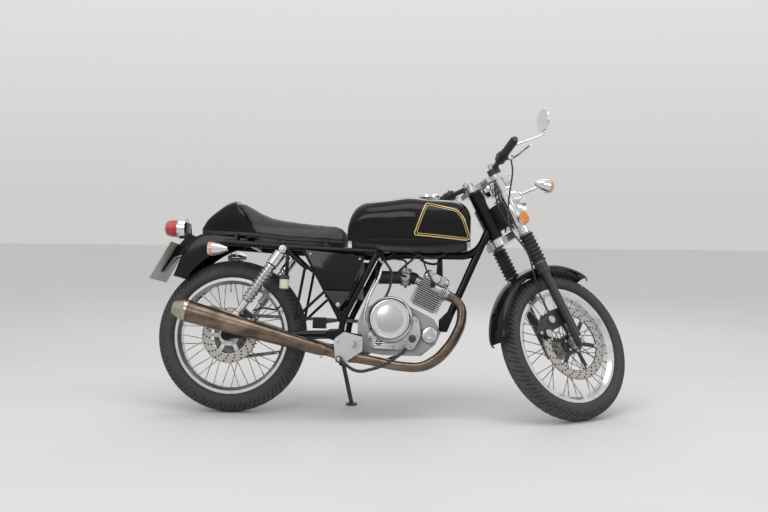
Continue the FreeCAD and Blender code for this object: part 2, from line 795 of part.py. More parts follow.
# Fork and steering
def yokes():
    pieces = []
    for base, depth, reach in ((S.lower_yoke_base, S.lower_yoke_depth, 26),
                               (S.top_yoke_base, S.top_yoke_depth, 26)):
        centre = axis_point(base)
        pieces.append(rod(centre, axis_point(base + depth), 30))
        for side in (-1, 1):
            leg = fork_point(base, side * S.fork_spacing)
            pieces.append(rod(leg, fork_point(base + depth, side * S.fork_spacing), reach))
        bar = Part.makeBox(52, 2 * S.fork_spacing, depth)
        corner = fork_point(base, -S.fork_spacing, -yoke_offset / 2 - 26)
        bar.Placement = Placement(corner, Rotation(LEFT, -S.rake_angle))
        pieces.append(bar)
    pieces.append(rod(axis_point(S.lower_yoke_base), axis_point(S.stanchion_top - 22), 14))
    whole = fuse(pieces)
    for side in (-1, 1):
        whole = whole.cut(rod(fork_point(400, side * S.fork_spacing),
                              fork_point(900, side * S.fork_spacing),
                              S.stanchion_radius + S.running_gap))
    return whole


steered("yokes", yokes())


def both_legs(maker):
    return Part.makeCompound([maker(-1), maker(1)])


def stanchion(side):
    across = side * S.fork_spacing
    return rod(fork_point(S.slider_top + 1, across), fork_point(S.stanchion_top, across),
               S.stanchion_radius)


steered("fork_stanchions", both_legs(stanchion))


def slider(side):
    across = side * S.fork_spacing
    leg = rod(fork_point(-22, across), fork_point(S.slider_top, across), S.slider_radius)
    collar = rod(fork_point(S.slider_top - 42, across), fork_point(S.slider_top, across), 26)
    return fuse([leg, collar])


def fork_sliders():
    spindle = rod(front_centre - LEFT * 122, front_centre + LEFT * 122, S.spindle_radius)
    return fuse([slider(-1), slider(1), spindle])


steered("fork_sliders", fork_sliders())


def gaiter(side):
    across = side * S.fork_spacing
    start = S.slider_top + S.running_gap
    long = S.gaiter_top - start
    bore = S.stanchion_radius + S.running_gap
    points = [(0, bore), (0, S.gaiter_valley)]
    fold = long / S.gaiter_folds
    for number in range(int(S.gaiter_folds)):
        points += [(fold * (number + 0.5), S.gaiter_radius), (fold * (number + 1), S.gaiter_valley)]
    points += [(long, bore)]
    return turned(points, fork_point(start, across), steer_axis)


steered("fork_gaiters", both_legs(gaiter))


# Handlebars: one short bar clamped on each stanchion above the top yoke
def bar_line(side):
    clamp = fork_point(S.stanchion_top - 18, side * S.fork_spacing)
    end = Vector(clamp.x - 66, side * S.bar_end_half_span, clamp.z + 2)
    return clamp, (end - clamp).normalize(), end


def handlebar(side):
    clamp, heading, end = bar_line(side)
    across = side * S.fork_spacing
    low = S.top_yoke_base + S.top_yoke_depth + S.running_gap
    ring = tube(fork_point(low, across), fork_point(low + S.clip_depth, across), 27,
                S.stanchion_radius + S.running_gap)
    bar = rod(clamp + heading * 20, end, S.bar_radius)
    return fuse([ring, bar])


steered("handlebars", both_legs(handlebar))


def grip(side):
    clamp, heading, end = bar_line(side)
    start = end - heading * (S.grip_length + 12)
    stop = end - heading * 12
    return tube(start, stop, S.grip_radius, S.bar_radius + S.running_gap)


steered("grips", both_legs(grip))


def controls(side):
    clamp, heading, end = bar_line(side)
    inner = end - heading * (S.grip_length + 54)
    outer = end - heading * (S.grip_length + 14)
    housing = tube(inner, outer, 22, S.bar_radius + S.running_gap)
    ahead = Vector(0, 0, 1).cross(heading) * -side
    perch = rod(inner + ahead * 12 + heading * 20, inner + ahead * 46 + heading * 20, 9)
    pivot = inner + ahead * 46 + heading * 20
    tip = end + ahead * 62 - UP * 20
    lever = bent_tube([pivot, pivot + heading * 40 + ahead * 14, tip], 4.5, 0.4)
    return fuse([housing, perch, lever])


steered("controls", both_legs(controls))


def mirror():
    clamp, heading, end = bar_line(-1)
    foot = end - heading * (S.grip_length + 34) + UP * 22.5
    centre = Vector(1113, -360, 1119)
    stem = bent_tube([foot, foot + UP * 14, Vector(1040, -285, 1035), Vector(1125, -345, 1065),
                      centre], 4.5, 0.4)
    glass = turned([(0, 0), (0, 47), (8, 44), (16, 20), (18, 0)], centre - AHEAD * 4,
                   Vector(1, -0.15, 0))
    return fuse([stem, glass])


steered("mirror", mirror())


def headlamp():
    centre = fork_point(620, 0, 62)
    heading = Vector(1, 0, 0)
    return turned([(-52, 0), (-48, 40), (-20, 72), (20, 84), (36, 86), (40, 82), (44, 60),
                   (48, 0)], centre, heading)


steered("headlamp", headlamp())


def instruments():
    pieces = []
    for side in (-1, 1):
        base = fork_point(700, side * 42, 62)
        heading = Vector(-0.35, 0, 0.94)
        pieces.append(turned([(0, 0), (0, 30), (20, 38), (46, 38), (46, 0)], base, heading))
    pieces.append(rod(fork_point(700, -42, 62), fork_point(700, 42, 62), 8))
    return fuse(pieces)


steered("instruments", instruments())


def lamp_brackets(side):
    across = side * S.fork_spacing
    low = 618
    ring = tube(fork_point(low, across), fork_point(low + 56, across), 24,
                S.stanchion_radius + S.running_gap)
    ear = rod(fork_point(low + 10, across, 20), fork_point(low + 10, side * 88, 70), 9)
    return fuse([ring, ear]).cut(rod(fork_point(500, across), fork_point(700, across),
                                     S.stanchion_radius + S.running_gap))


steered("headlamp_brackets", both_legs(lamp_brackets))


def front_indicator():
    tip = fork_point(640, -200, 96) + AHEAD * 60
    bullet = turned([(0, 0), (0, 27), (10, 29), (14, 29), (50, 22), (78, 9), (80, 0)], tip, -AHEAD)
    stem = rod(tip - AHEAD * 40, fork_point(640, -122, 62), 6)
    return fuse([bullet, stem])


steered("front_indicators", both_sides(front_indicator()))


def front_mudguard():
    corners = [(-62, 322), (-56, 338), (-34, 350), (0, 354), (34, 350), (56, 338), (62, 322),
               (59, 322), (53, 336), (33, 347), (0, 351), (-33, 347), (-53, 336), (-59, 322)]
    start = 66.0
    end = 186.0
    points = [front_centre + LEFT * across + UP * radius for across, radius in corners]
    face = Part.Face(Part.makePolygon(points + points[:1]))
    face.rotate(front_centre, LEFT, 90 - start)
    return face.revolve(front_centre, LEFT, start - end)


steered("front_mudguard", front_mudguard())
steered("front_caliper", caliper(front_centre, S.front_disc_radius, 160, 96))


def side_stand():
    pivot = stand_pivot
    down = stance.Rotation.inverted().multVec(Vector(0, 0, -1))
    foot_line = Vector(488, 203, 0)
    height = stance.multVec(foot_line).z
    foot = foot_line + down * (height)
    leg = rod(pivot, foot - down * 4, S.stand_tube_radius)
    pad = Part.makeCylinder(24, 8, foot, down * -1)
    hub = rod(pivot - stand_axis * 10, pivot + stand_axis * 10, 16)
    return fuse([leg, pad, hub])


fixed("side_stand", side_stand())

doc.recompute()

# The finished machine stands over the middle of its own footprint
box = FreeCAD.BoundBox()
for piece in nodes:
    box.add(piece.Shape.optimalBoundingBox(False, False))
shift = Placement(Vector(-box.Center.x, -box.Center.y, -box.ZMin), Rotation())
for piece in nodes:
    piece.Placement = shift.multiply(piece.Placement)
doc.recompute()

for piece in nodes:
    faults = [state for state in piece.State if state in ("Invalid", "Error")]
    if faults or piece.Shape.isNull() or not piece.Shape.isValid():
        raise ValueError("%s is not sound: %s" % (piece.Label, faults))
for piece in nodes:
    piece.Shape.exportStep("parts/%s.step" % piece.Label)
    print("%-18s solids %3d  volume %.0f" % (piece.Label, len(piece.Shape.Solids),
                                             piece.Shape.Volume))
print("overall", box.XLength, box.YLength, box.ZLength, "nodes", len(nodes))
print("offset", shift.Base)
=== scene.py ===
"""Finish, light and camera for a cafe racer parked on its side stand."""
import math
import random

import bmesh
import bpy
from mathutils import Matrix, Vector
from mathutils.bvhtree import BVHTree


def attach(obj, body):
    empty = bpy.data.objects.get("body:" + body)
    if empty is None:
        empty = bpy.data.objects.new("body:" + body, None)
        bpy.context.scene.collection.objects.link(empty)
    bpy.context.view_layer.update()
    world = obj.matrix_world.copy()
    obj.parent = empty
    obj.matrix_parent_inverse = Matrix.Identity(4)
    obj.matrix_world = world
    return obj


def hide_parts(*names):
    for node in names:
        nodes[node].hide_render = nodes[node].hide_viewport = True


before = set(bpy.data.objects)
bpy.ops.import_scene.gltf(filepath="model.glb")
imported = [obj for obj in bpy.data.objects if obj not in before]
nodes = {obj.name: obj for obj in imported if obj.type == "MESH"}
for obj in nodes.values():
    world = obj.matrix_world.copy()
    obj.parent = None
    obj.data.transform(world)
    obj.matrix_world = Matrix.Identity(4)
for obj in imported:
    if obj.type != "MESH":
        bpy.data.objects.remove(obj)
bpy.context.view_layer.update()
scene = bpy.context.scene
dice = random.Random(7)

AHEAD, LEFT, UP = Vector((1, 0, 0)), Vector((0, 1, 0)), Vector((0, 0, 1))
SIDES = (-1, 1)

# The stance: lengths in millimetres in the machine's own upright frame, turned into the row frame
WHEELBASE, TRAIL, RAKE, LEAN, STOP = 1394.0, 85.0, 27.0, 9.4, 38.5
REAR_RADIUS, REAR_HALF, REAR_RIM_HALF = 316.5, 55.0, 33.5
FRONT_RADIUS, FRONT_HALF, FRONT_RIM_HALF = 309.5, 45.0, 29.0
REAR_DISC, FRONT_DISC, DISC_MIDDLE = 115, 155, -59.5
CYLINDER_LEAN, FIN_PITCH, BARREL_FINS, HEAD_FINS = 25, 8.6, 8, 6
LEG, CLAMP, BAR_END, PLATE_TILT = 95, 782, 345, 29
COVER_FACE, CASE_SIDE = -84.0, 84.2
CORNER_X, CORNER_Y = -655.9369, -122.3178


def tilted(degrees):
    """Two ways in side view: up an axis that leans back by an angle, and square ahead of it."""
    angle = math.radians(degrees)
    return (Vector((-math.sin(angle), 0, math.cos(angle))),
            Vector((math.cos(angle), 0, math.sin(angle))))


rear_centre = Vector((0, 0, REAR_RADIUS))
front_centre = Vector((WHEELBASE, 0, FRONT_RADIUS))
stem, fork_ahead = tilted(RAKE)
stem_foot = Vector((WHEELBASE + TRAIL, 0, 0))
steer = (Matrix.Translation(stem_foot) @ Matrix.Rotation(math.radians(STOP), 4, stem)
         @ Matrix.Translation(-stem_foot))


def tyre_low(pose, centre, radius, crown):
    axle = (pose @ (centre + LEFT)) - (pose @ centre)
    return (pose @ centre).z - (radius - crown) * math.sqrt(1 - axle.z ** 2) - crown


def stance_matrix():
    pitch = 0.0
    for step in range(6):
        turn = (Matrix.Rotation(math.radians(pitch), 4, LEFT)
                @ Matrix.Rotation(math.radians(-LEAN), 4, AHEAD))
        low = tyre_low(turn, rear_centre, REAR_RADIUS, REAR_HALF)
        front = tyre_low(turn @ steer, front_centre, FRONT_RADIUS, FRONT_HALF)
        pitch += math.degrees((front - low) / WHEELBASE)
    return Matrix.Translation((CORNER_X, CORNER_Y, -low)) @ turn


FIXED = Matrix.Scale(0.001, 4) @ stance_matrix()
TURNED = FIXED @ steer
POSES = {"chassis": FIXED, "rear_wheel": FIXED, "side_stand": FIXED,
         "steering": TURNED, "front_wheel": TURNED}


def fork_point(along, across=0.0, ahead=0.0):
    return front_centre + stem * along + LEFT * across + fork_ahead * ahead


def polar(centre, reach, degrees, level=0.0):
    """A point round an axle, turned up from straight ahead."""
    angle = math.radians(degrees)
    return centre + Vector((reach * math.cos(angle), level, reach * math.sin(angle)))


def bar(side):
    """A handlebar's clamp, its end and the way it runs."""
    clamp = fork_point(CLAMP, side * LEG)
    end = Vector((clamp.x - 66, side * BAR_END, clamp.z + 2))
    return clamp, end, (end - clamp).normalized()


# Materials
class Finish:
    """One procedural material: colour, roughness and bump built up in layers."""

    def __init__(self, name, colour, roughness, metallic=0.0):
        self.material = bpy.data.materials.new(name)
        self.material.use_nodes = True
        self.tree = self.material.node_tree
        self.shader = self.tree.nodes["Principled BSDF"]
        self.place = self.tree.nodes.new("ShaderNodeTexCoord").outputs["Object"]
        self.colour, self.rough, self.metal = (*colour, 1), roughness, metallic
        self.bumps = []

    def new(self, kind, fed=(), **settings):
        """A node with its settings made and its sockets fed."""
        node = self.tree.nodes.new(kind)
        for key, value in settings.items():
            setattr(node, key, value)
        for key, value in dict(fed).items():
            self.feed(node.inputs[key], value)
        return node

    def feed(self, socket, value):
        if isinstance(value, bpy.types.NodeSocket):
            self.tree.links.new(value, socket)
        else:
            socket.default_value = value

    def sum(self, operation, first, second):
        return self.new("ShaderNodeMath", {0: first, 1: second}, operation=operation).outputs[0]

    def times(self, first, second):
        return self.sum("MULTIPLY", first, second)

    def ramp(self, value, low, high, out_low=0.0, out_high=1.0):
        return self.new("ShaderNodeMapRange", enumerate((value, low, high, out_low, out_high)),
                        clamp=True).outputs[0]

    def noise(self, scale, detail=4.0, stretch=None):
        where = self.place
        if stretch:
            where = self.new("ShaderNodeMapping", {"Vector": where, "Scale": stretch}).outputs[0]
        return self.new("ShaderNodeTexNoise", {"Scale": scale, "Detail": detail, "Vector": where,
                                               "Roughness": 0.55}).outputs["Fac"]

    def cells(self, scale):
        return self.new("ShaderNodeTexVoronoi",
                        {"Scale": scale, "Vector": self.place}).outputs["Distance"]

    def vector(self, operation, first, second=None):
        return self.new("ShaderNodeVectorMath", {0: first, **({} if second is None else
                                                              {1: second})}, operation=operation)

    def offset(self, point):
        return self.vector("SUBTRACT", self.place, point).outputs[0]

    def along(self, point, axis):
        """Distance in metres along an axis from a point."""
        return self.vector("DOT_PRODUCT", self.offset(point), axis.normalized()).outputs["Value"]

    def away(self, point, axis):
        """Distance in metres from an axis through a point."""
        cross = self.vector("CROSS_PRODUCT", self.offset(point), axis.normalized()).outputs[0]
        return self.vector("LENGTH", cross).outputs["Value"]

    def between(self, value, low, high, soft=0.0006):
        return self.times(self.ramp(value, low - soft, low + soft),
                          self.ramp(value, high - soft, high + soft, 1.0, 0.0))

    def layer(self, share, colour=None, roughness=None, metallic=None):
        """Lays another colour and roughness over what is there, by a share from 0 to 1."""
        if colour is not None:
            self.colour = self.new("ShaderNodeMix", {0: share, 6: self.colour, 7: (*colour, 1)},
                                   data_type="RGBA").outputs[2]
        for key, value in (("rough", roughness), ("metal", metallic)):
            if value is not None:
                mix = self.new("ShaderNodeMix", {0: share, 2: getattr(self, key), 3: value},
                               data_type="FLOAT")
                setattr(self, key, mix.outputs[0])
        return self

    def patches(self, scale, detail, low, high, share, *over):
        """Lays a colour and roughness over in noisy patches."""
        return self.layer(self.ramp(self.noise(scale, detail), low, high, 0.0, share), *over)

    def bump(self, height, depth, strength):
        self.bumps.append((height, depth, strength))
        return self

    def grain(self, scale, detail, depth, strength):
        return self.bump(self.noise(scale, detail), depth, strength)

    def sunk(self, reach, samples, **settings):
        """How far a spot is shut in by what stands near it."""
        shape = self.new("ShaderNodeAmbientOcclusion", {"Distance": reach}, samples=samples,
                         **settings)
        return self.ramp(shape.outputs["AO"], 0.25, 0.75, 1.0, 0.0)

    def edges(self, share, colour, roughness=None, reach=0.0016):
        """Wear on the ridges, where the shape turns outward most sharply."""
        worn = self.sunk(reach, 4, inside=True, only_local=True)
        spots = self.ramp(self.noise(60.0, 6.0), 0.4, 0.65)
        return self.layer(self.times(self.times(worn, spots), share), colour, roughness)

    def corner_dirt_and_shade(self, share, colour, roughness=None, reach=0.014):
        """A colour laid where ambient occlusion finds a spot shut in: paler grime where the colour is
        lighter than the surface, painted shade where it is darker.
        """
        return self.layer(self.times(self.sunk(reach, 6), share), colour, roughness)

    def dust(self, share, colour=(0.30, 0.27, 0.23), roughness=0.75):
        """A thin film of dust on what faces up."""
        normal = self.new("ShaderNodeNewGeometry").outputs["Normal"]
        split = self.new("ShaderNodeSeparateXYZ", {0: normal})
        up = self.ramp(split.outputs["Z"], 0.2, 1.0)
        patch = self.ramp(self.noise(14.0, 7.0), 0.35, 0.75)
        return self.layer(self.times(self.times(up, patch), share), colour, roughness)

    def done(self, **sockets):
        normal = None
        for height, depth, strength in self.bumps:
            fed = {"Strength": strength, "Distance": depth, "Height": height}
            if normal:
                fed["Normal"] = normal
            normal = self.new("ShaderNodeBump", fed).outputs[0]
        for key, value in (("Base Color", self.colour), ("Roughness", self.rough),
                           ("Metallic", self.metal), ("Normal", normal), *sockets.items()):
            if value is not None:
                self.feed(self.shader.inputs[key.replace("_", " ")], value)
        return self.material


def at(x, y, z):
    return FIXED @ Vector((x, y, z))


def heading(direction, pose=FIXED):
    return (pose.to_3x3() @ Vector(direction)).normalized()


def gloss_black(name, dust=0.10, lift=1.0):
    f = Finish(name, (0.004 * lift, 0.004 * lift, 0.0045 * lift), 0.07)
    f.patches(3.5, 3.0, 0.35, 0.7, 1.0, (0.006 * lift, 0.006 * lift, 0.007 * lift), 0.10)
    f.patches(220.0, 3.0, 0.6, 0.8, 0.2, None, 0.22)
    f.edges(0.2, (0.05, 0.05, 0.052), 0.3).dust(dust, (0.10, 0.09, 0.08))
    f.grain(900.0, 2.0, 0.00002, 0.2).grain(9.0, 2.0, 0.0006, 0.06)
    return f.done(Specular_IOR_Level=0.22)


def satin_black(name, level=0.018, rough=0.38, dust=0.16):
    f = Finish(name, (level, level, level * 1.06), rough)
    f.patches(8.0, 5.0, 0.35, 0.7, 1.0, (level * 1.7, level * 1.7, level * 1.7), rough + 0.12)
    f.patches(400.0, 2.0, 0.5, 0.8, 0.5, None, rough + 0.2)
    f.edges(0.6, (0.16, 0.15, 0.14), 0.4).dust(dust)
    return f.grain(700.0, 3.0, 0.0001, 0.4).done()


def rubber(name, level=0.018, rough=0.62, dust=0.25):
    f = Finish(name, (level, level, level), rough)
    f.patches(12.0, 6.0, 0.35, 0.7, 1.0, (level * 2.0, level * 1.95, level * 1.85), rough + 0.13)
    f.corner_dirt_and_shade(0.4, (0.07, 0.062, 0.052), 0.9).dust(dust, (0.16, 0.15, 0.13), 0.9)
    return f.grain(800.0, 4.0, 0.00012, 0.6).done()


def chrome(name, level=0.72, rough=0.07, stain=0.35):
    f = Finish(name, (level, level, level * 1.02), rough, 1.0)
    f.patches(22.0, 6.0, 0.5, 0.85, stain, (0.42, 0.38, 0.33), 0.3)
    f.patches(260.0, 3.0, 0.66, 0.78, stain, (0.22, 0.15, 0.10), 0.55, 0.6)
    # The dark colour laid by ambient occlusion in corners is painted shade.
    return f.corner_dirt_and_shade(0.6, (0.09, 0.075, 0.06), 0.6).grain(60.0, 3.0, 0.0002, 0.06).done()


def alloy(name, level=0.62, rough=0.28, dirt_and_shade_share=0.5, cast=0.35):
    f = Finish(name, (level, level, level * 1.01), rough, 1.0)
    f.patches(16.0, 7.0, 0.4, 0.75, 0.6, (level * 0.72, level * 0.71, level * 0.69), rough + 0.14)
    f.patches(120.0, 5.0, 0.62, 0.8, dirt_and_shade_share, (0.20, 0.17, 0.13), 0.7, 0.4)
    # The brown noisy patches are dirt; the dark colour laid by ambient occlusion in corners and
    # between fins is painted shade.
    return f.corner_dirt_and_shade(dirt_and_shade_share, (0.07, 0.06, 0.05), 0.8).grain(500.0, 4.0, 0.0003, cast).done()


def steel(name, level=0.5, rough=0.3, rust=0.25):
    f = Finish(name, (level, level * 0.99, level * 0.97), rough, 1.0)
    f.patches(30.0, 6.0, 0.45, 0.8, 0.5, (level * 0.6, level * 0.58, level * 0.54), rough + 0.18)
    f.patches(90.0, 8.0, 0.58, 0.78, rust, (0.20, 0.10, 0.05), 0.8, 0.2)
    return f.grain(600.0, 3.0, 0.00015, 0.35).done()


def plain(name, colour, rough, second=None):
    second = second or tuple(channel * 0.7 for channel in colour)
    f = Finish(name, colour, rough).patches(80.0, 4.0, 0.35, 0.7, 0.7, second, rough + 0.12)
    return f.grain(900.0, 2.0, 0.00004, 0.3).done()


def tyre_finish(name, centre, radius, pose):
    """Matt rubber, darkened in the grooves by painted shade, and greyer where it meets the road."""
    f = Finish(name, (0.030, 0.030, 0.031), 0.66)
    f.patches(9.0, 7.0, 0.35, 0.7, 1.0, (0.046, 0.045, 0.044), 0.78)
    worn = f.ramp(f.away(pose @ centre, heading(LEFT, pose)), (radius - 16) * 0.001,
                  (radius - 2) * 0.001)
    f.layer(f.times(worn, f.ramp(f.noise(40.0, 6.0), 0.3, 0.7, 0.35, 0.8)),
            (0.075, 0.072, 0.068), 0.88)
    # The near-black colour laid by ambient occlusion in the grooves is painted shade.
    f.corner_dirt_and_shade(0.5, (0.012, 0.011, 0.010), 0.95)
    f.patches(150.0, 4.0, 0.62, 0.8, 0.3, (0.11, 0.10, 0.085), 0.95)
    return f.grain(520.0, 4.0, 0.00025, 0.6).done()


def rim_finish(name, centre, pose):
    """Polished rim, with thin tarnished steel spokes and a satin hub inside it."""
    f = Finish(name, (0.70, 0.70, 0.71), 0.16, 1.0)
    distance = f.away(pose @ centre, heading(LEFT, pose))
    f.patches(26.0, 6.0, 0.45, 0.75, 0.6, (0.48, 0.47, 0.45), 0.3)
    spokes = f.between(distance, 0.046, 0.2145)
    f.layer(spokes, (0.36, 0.34, 0.31), 0.34)
    f.layer(f.times(spokes, f.ramp(f.noise(45.0, 6.0), 0.45, 0.65)), (0.16, 0.105, 0.065), 0.7, 0.5)
    f.layer(f.ramp(distance, 0.045, 0.0462, 1.0, 0.0), (0.40, 0.40, 0.41), 0.4)
    f.patches(160.0, 4.0, 0.66, 0.8, 0.45, (0.13, 0.10, 0.08), 0.8, 0.3)
    return f.grain(400.0, 3.0, 0.0001, 0.3).done()


def disc_finish(name, centre, radius, pose, arms):
    """Ground brake band with fine rings, on a carrier of its own colour."""
    f = Finish(name, (0.47, 0.46, 0.45), 0.25, 1.0)
    distance = f.away(pose @ centre, heading(LEFT, pose))
    rings = f.new("ShaderNodeTexWave", {
        "Scale": 260.0, "Distortion": 0.6,
        "Vector": f.new("ShaderNodeCombineXYZ", {0: distance}).outputs[0]}).outputs["Fac"]
    f.layer(f.ramp(rings, 0.3, 0.9, 0.0, 0.25), (0.42, 0.41, 0.40), 0.36)
    f.patches(35.0, 5.0, 0.5, 0.8, 0.4, (0.36, 0.31, 0.26), 0.45)
    inner = f.ramp(distance, (radius - 36.6) * 0.001, (radius - 35.4) * 0.001, 1.0, 0.0)
    f.layer(inner, arms, 0.36, 0.0 if max(arms) < 0.1 else 1.0)
    rim = f.between(distance, (radius - 5) * 0.001, (radius + 5) * 0.001)
    return f.layer(rim, (0.34, 0.27, 0.21), 0.5).bump(rings, 0.00005, 0.3).done()


def panel_finish():
    """Gloss cover above, matt ribbed plastic below it."""
    f = Finish("side_panel_paint", (0.004, 0.004, 0.0045), 0.08)
    f.patches(4.0, 3.0, 0.35, 0.7, 1.0, (0.0055, 0.0055, 0.0065), 0.11)
    low = f.ramp(f.along(at(470, 0, 505), heading(UP)), -0.001, 0.001, 1.0, 0.0)
    f.layer(low, (0.040, 0.042, 0.045), 0.55)
    f.layer(f.times(low, f.ramp(f.noise(26.0, 5.0), 0.4, 0.75, 0.0, 0.5)), (0.060, 0.060, 0.058),
            0.65)
    return f.grain(700.0, 3.0, 0.00004, 0.2).done(Specular_IOR_Level=0.26)


def cover_finish():
    """Brushed clear-coated covers, darker in the turned ring round the clutch cover's face."""
    f = Finish("engine_cover_alloy", (0.60, 0.60, 0.61), 0.2, 1.0)
    face = f.away(at(675, COVER_FACE, 394), heading(LEFT))
    streak = f.noise(90.0, 4.0, (0.25, 1.0, 9.0))
    f.layer(f.ramp(streak, 0.3, 0.75, 0.0, 0.6), (0.42, 0.42, 0.43), 0.3)
    f.layer(f.between(face, 0.0775, 0.0795, 0.0008), (0.40, 0.40, 0.40), 0.42)
    f.patches(70.0, 7.0, 0.6, 0.8, 0.35, (0.36, 0.33, 0.29), 0.5)
    # The dark colour laid by ambient occlusion in corners is painted shade.
    f.corner_dirt_and_shade(0.75, (0.08, 0.07, 0.06), 0.7)
    return f.bump(streak, 0.00012, 0.25).grain(600.0, 3.0, 0.0001, 0.2).done()


def exhaust_finish(name, start=None, axis=None):
    """Brushed steel browned by heat, with a paler end cap where an axis is given."""
    f = Finish(name, (0.155, 0.112, 0.082), 0.26, 1.0)
    f.patches(7.0, 5.0, 0.35, 0.68, 1.0, (0.27, 0.205, 0.15), 0.3)
    f.layer(f.ramp(f.noise(11.0, 6.0, (1, 1, 2.2)), 0.42, 0.62, 0.0, 0.8), (0.070, 0.054, 0.045),
            0.36)
    f.patches(16.0, 5.0, 0.6, 0.76, 0.5, (0.10, 0.11, 0.15), 0.3)
    f.patches(38.0, 7.0, 0.64, 0.8, 0.5, (0.30, 0.26, 0.21), 0.5, 0.7)
    if axis:
        run, length = f.along(start, axis), axis.length
        cap = f.ramp(run, length - 0.047, length - 0.045)
        f.layer(cap, (0.40, 0.36, 0.30), 0.3)
        f.layer(f.between(run, length - 0.061, length - 0.0455), (0.44, 0.38, 0.31), 0.24)
        f.layer(f.times(cap, f.ramp(f.noise(60.0, 6.0), 0.5, 0.75)), (0.34, 0.27, 0.20), 0.5)
        f.layer(f.ramp(run, 0.05, 0.0, 0.0, 0.7), (0.20, 0.16, 0.11), 0.4)
    return f.bump(f.noise(420.0, 3.0, (0.12, 1.0, 1.0)), 0.00008, 0.3).done(Anisotropic=0.4)


def plate_finish():
    f = Finish("number_plate_blank", (0.44, 0.43, 0.39), 0.42)
    f.patches(9.0, 6.0, 0.35, 0.7, 1.0, (0.36, 0.345, 0.305), 0.5)
    f.patches(55.0, 6.0, 0.56, 0.76, 0.5, (0.22, 0.19, 0.155), 0.75)
    return f.bump(f.cells(900.0), 0.00008, 0.3).done(Coat_Weight=0.2, Coat_Roughness=0.2)


def shock_finish():
    """Chrome cover and springs, with painted shade darkening the gaps, and a satin lower tube."""
    f = Finish("shock_chrome", (0.70, 0.70, 0.71), 0.10, 1.0)
    top, low = at(229, -136, 671), at(44, -136, 397)
    f.layer(f.between(f.along(top, low - top), 0.112, (low - top).length - 0.070),
            (0.62, 0.61, 0.60), 0.2)
    f.patches(60.0, 6.0, 0.5, 0.8, 0.5, (0.30, 0.23, 0.17), 0.5)
    # The near-black colour laid by ambient occlusion between the coils is painted shade.
    f.corner_dirt_and_shade(0.9, (0.03, 0.026, 0.022), 0.7, 0.012)
    return f.grain(300.0, 3.0, 0.0001, 0.15).done()


def chain_finish():
    f = Finish("chain_steel", (0.17, 0.15, 0.13), 0.42, 1.0)
    f.patches(70.0, 6.0, 0.4, 0.7, 1.0, (0.36, 0.33, 0.29), 0.34)
    f.patches(120.0, 5.0, 0.52, 0.72, 0.8, (0.022, 0.019, 0.016), 0.6, 0.1)
    f.patches(40.0, 6.0, 0.6, 0.8, 0.5, (0.15, 0.075, 0.035), 0.85, 0.1)
    return f.grain(500.0, 3.0, 0.0002, 0.4).done()


def rear_brake_finish():
    """Black caliper and carrier, and a cream reservoir with a dark cap."""
    f = Finish("rear_brake_paint", (0.016, 0.016, 0.017), 0.36)
    f.patches(30.0, 5.0, 0.45, 0.75, 0.6, (0.05, 0.047, 0.042), 0.55)
    pot = at(241, -150, 507)
    height = f.along(pot, heading(UP))
    cup = f.times(f.ramp(f.away(pot, heading(UP)), 0.0235, 0.0245, 1.0, 0.0),
                  f.ramp(height, -0.003, -0.001))
    f.layer(cup, (0.60, 0.56, 0.44), 0.35)
    f.layer(f.times(cup, f.ramp(height, 0.0375, 0.0385)), (0.02, 0.02, 0.02), 0.45)
    return f.grain(500.0, 3.0, 0.00015, 0.35).done()


def slider_finish():
    """Satin black legs with a bright spindle and nut."""
    f = Finish("slider_paint", (0.017, 0.017, 0.019), 0.34)
    f.patches(10.0, 5.0, 0.35, 0.7, 1.0, (0.030, 0.030, 0.032), 0.45)
    axle = TURNED @ front_centre, heading(LEFT, TURNED)
    across = f.along(*axle)
    ends = f.sum("MAXIMUM", f.sum("MAXIMUM", f.ramp(across, -0.1135, -0.1125, 1.0, 0.0),
                                  f.between(across, -0.0782, 0.0782)),
                 f.ramp(across, 0.1125, 0.1135))
    f.layer(f.times(f.ramp(f.away(*axle), 0.0143, 0.0147, 1.0, 0.0), ends), (0.55, 0.54, 0.52),
            0.3, 1.0)
    f.edges(0.5, (0.16, 0.155, 0.15), 0.4).dust(0.08)
    return f.grain(600.0, 3.0, 0.0001, 0.3).done()


def control_finish():
    """Black switch housings; bright levers and their pivots."""
    f = Finish("control_finish", (0.018, 0.018, 0.019), 0.42)
    f.patches(30.0, 5.0, 0.4, 0.75, 0.6, (0.035, 0.034, 0.033), 0.55)
    parts = []
    for side in SIDES:
        clamp, end, run = bar(side)
        lead = f.along(TURNED @ end, heading(UP.cross(run) * -side, TURNED))
        across = f.along(TURNED @ Vector((clamp.x, 0, clamp.z)), heading(LEFT, TURNED))
        mine = f.ramp(across, -0.001, 0.001, *((1.0, 0.0) if side < 0 else (0.0, 1.0)))
        parts.append(f.times(f.ramp(lead, 0.0255, 0.0265), mine))
    f.layer(f.sum("MAXIMUM", *parts), (0.62, 0.62, 0.62), 0.24, 1.0)
    return f.edges(0.3, (0.2, 0.2, 0.2), 0.4).grain(500.0, 3.0, 0.0001, 0.25).done()


def instrument_finish():
    f = Finish("instrument_cup", (0.70, 0.70, 0.71), 0.10, 1.0)
    f.patches(40.0, 5.0, 0.55, 0.8, 0.35, (0.35, 0.32, 0.29), 0.4)
    return f.grain(400.0, 3.0, 0.0001, 0.15).done()


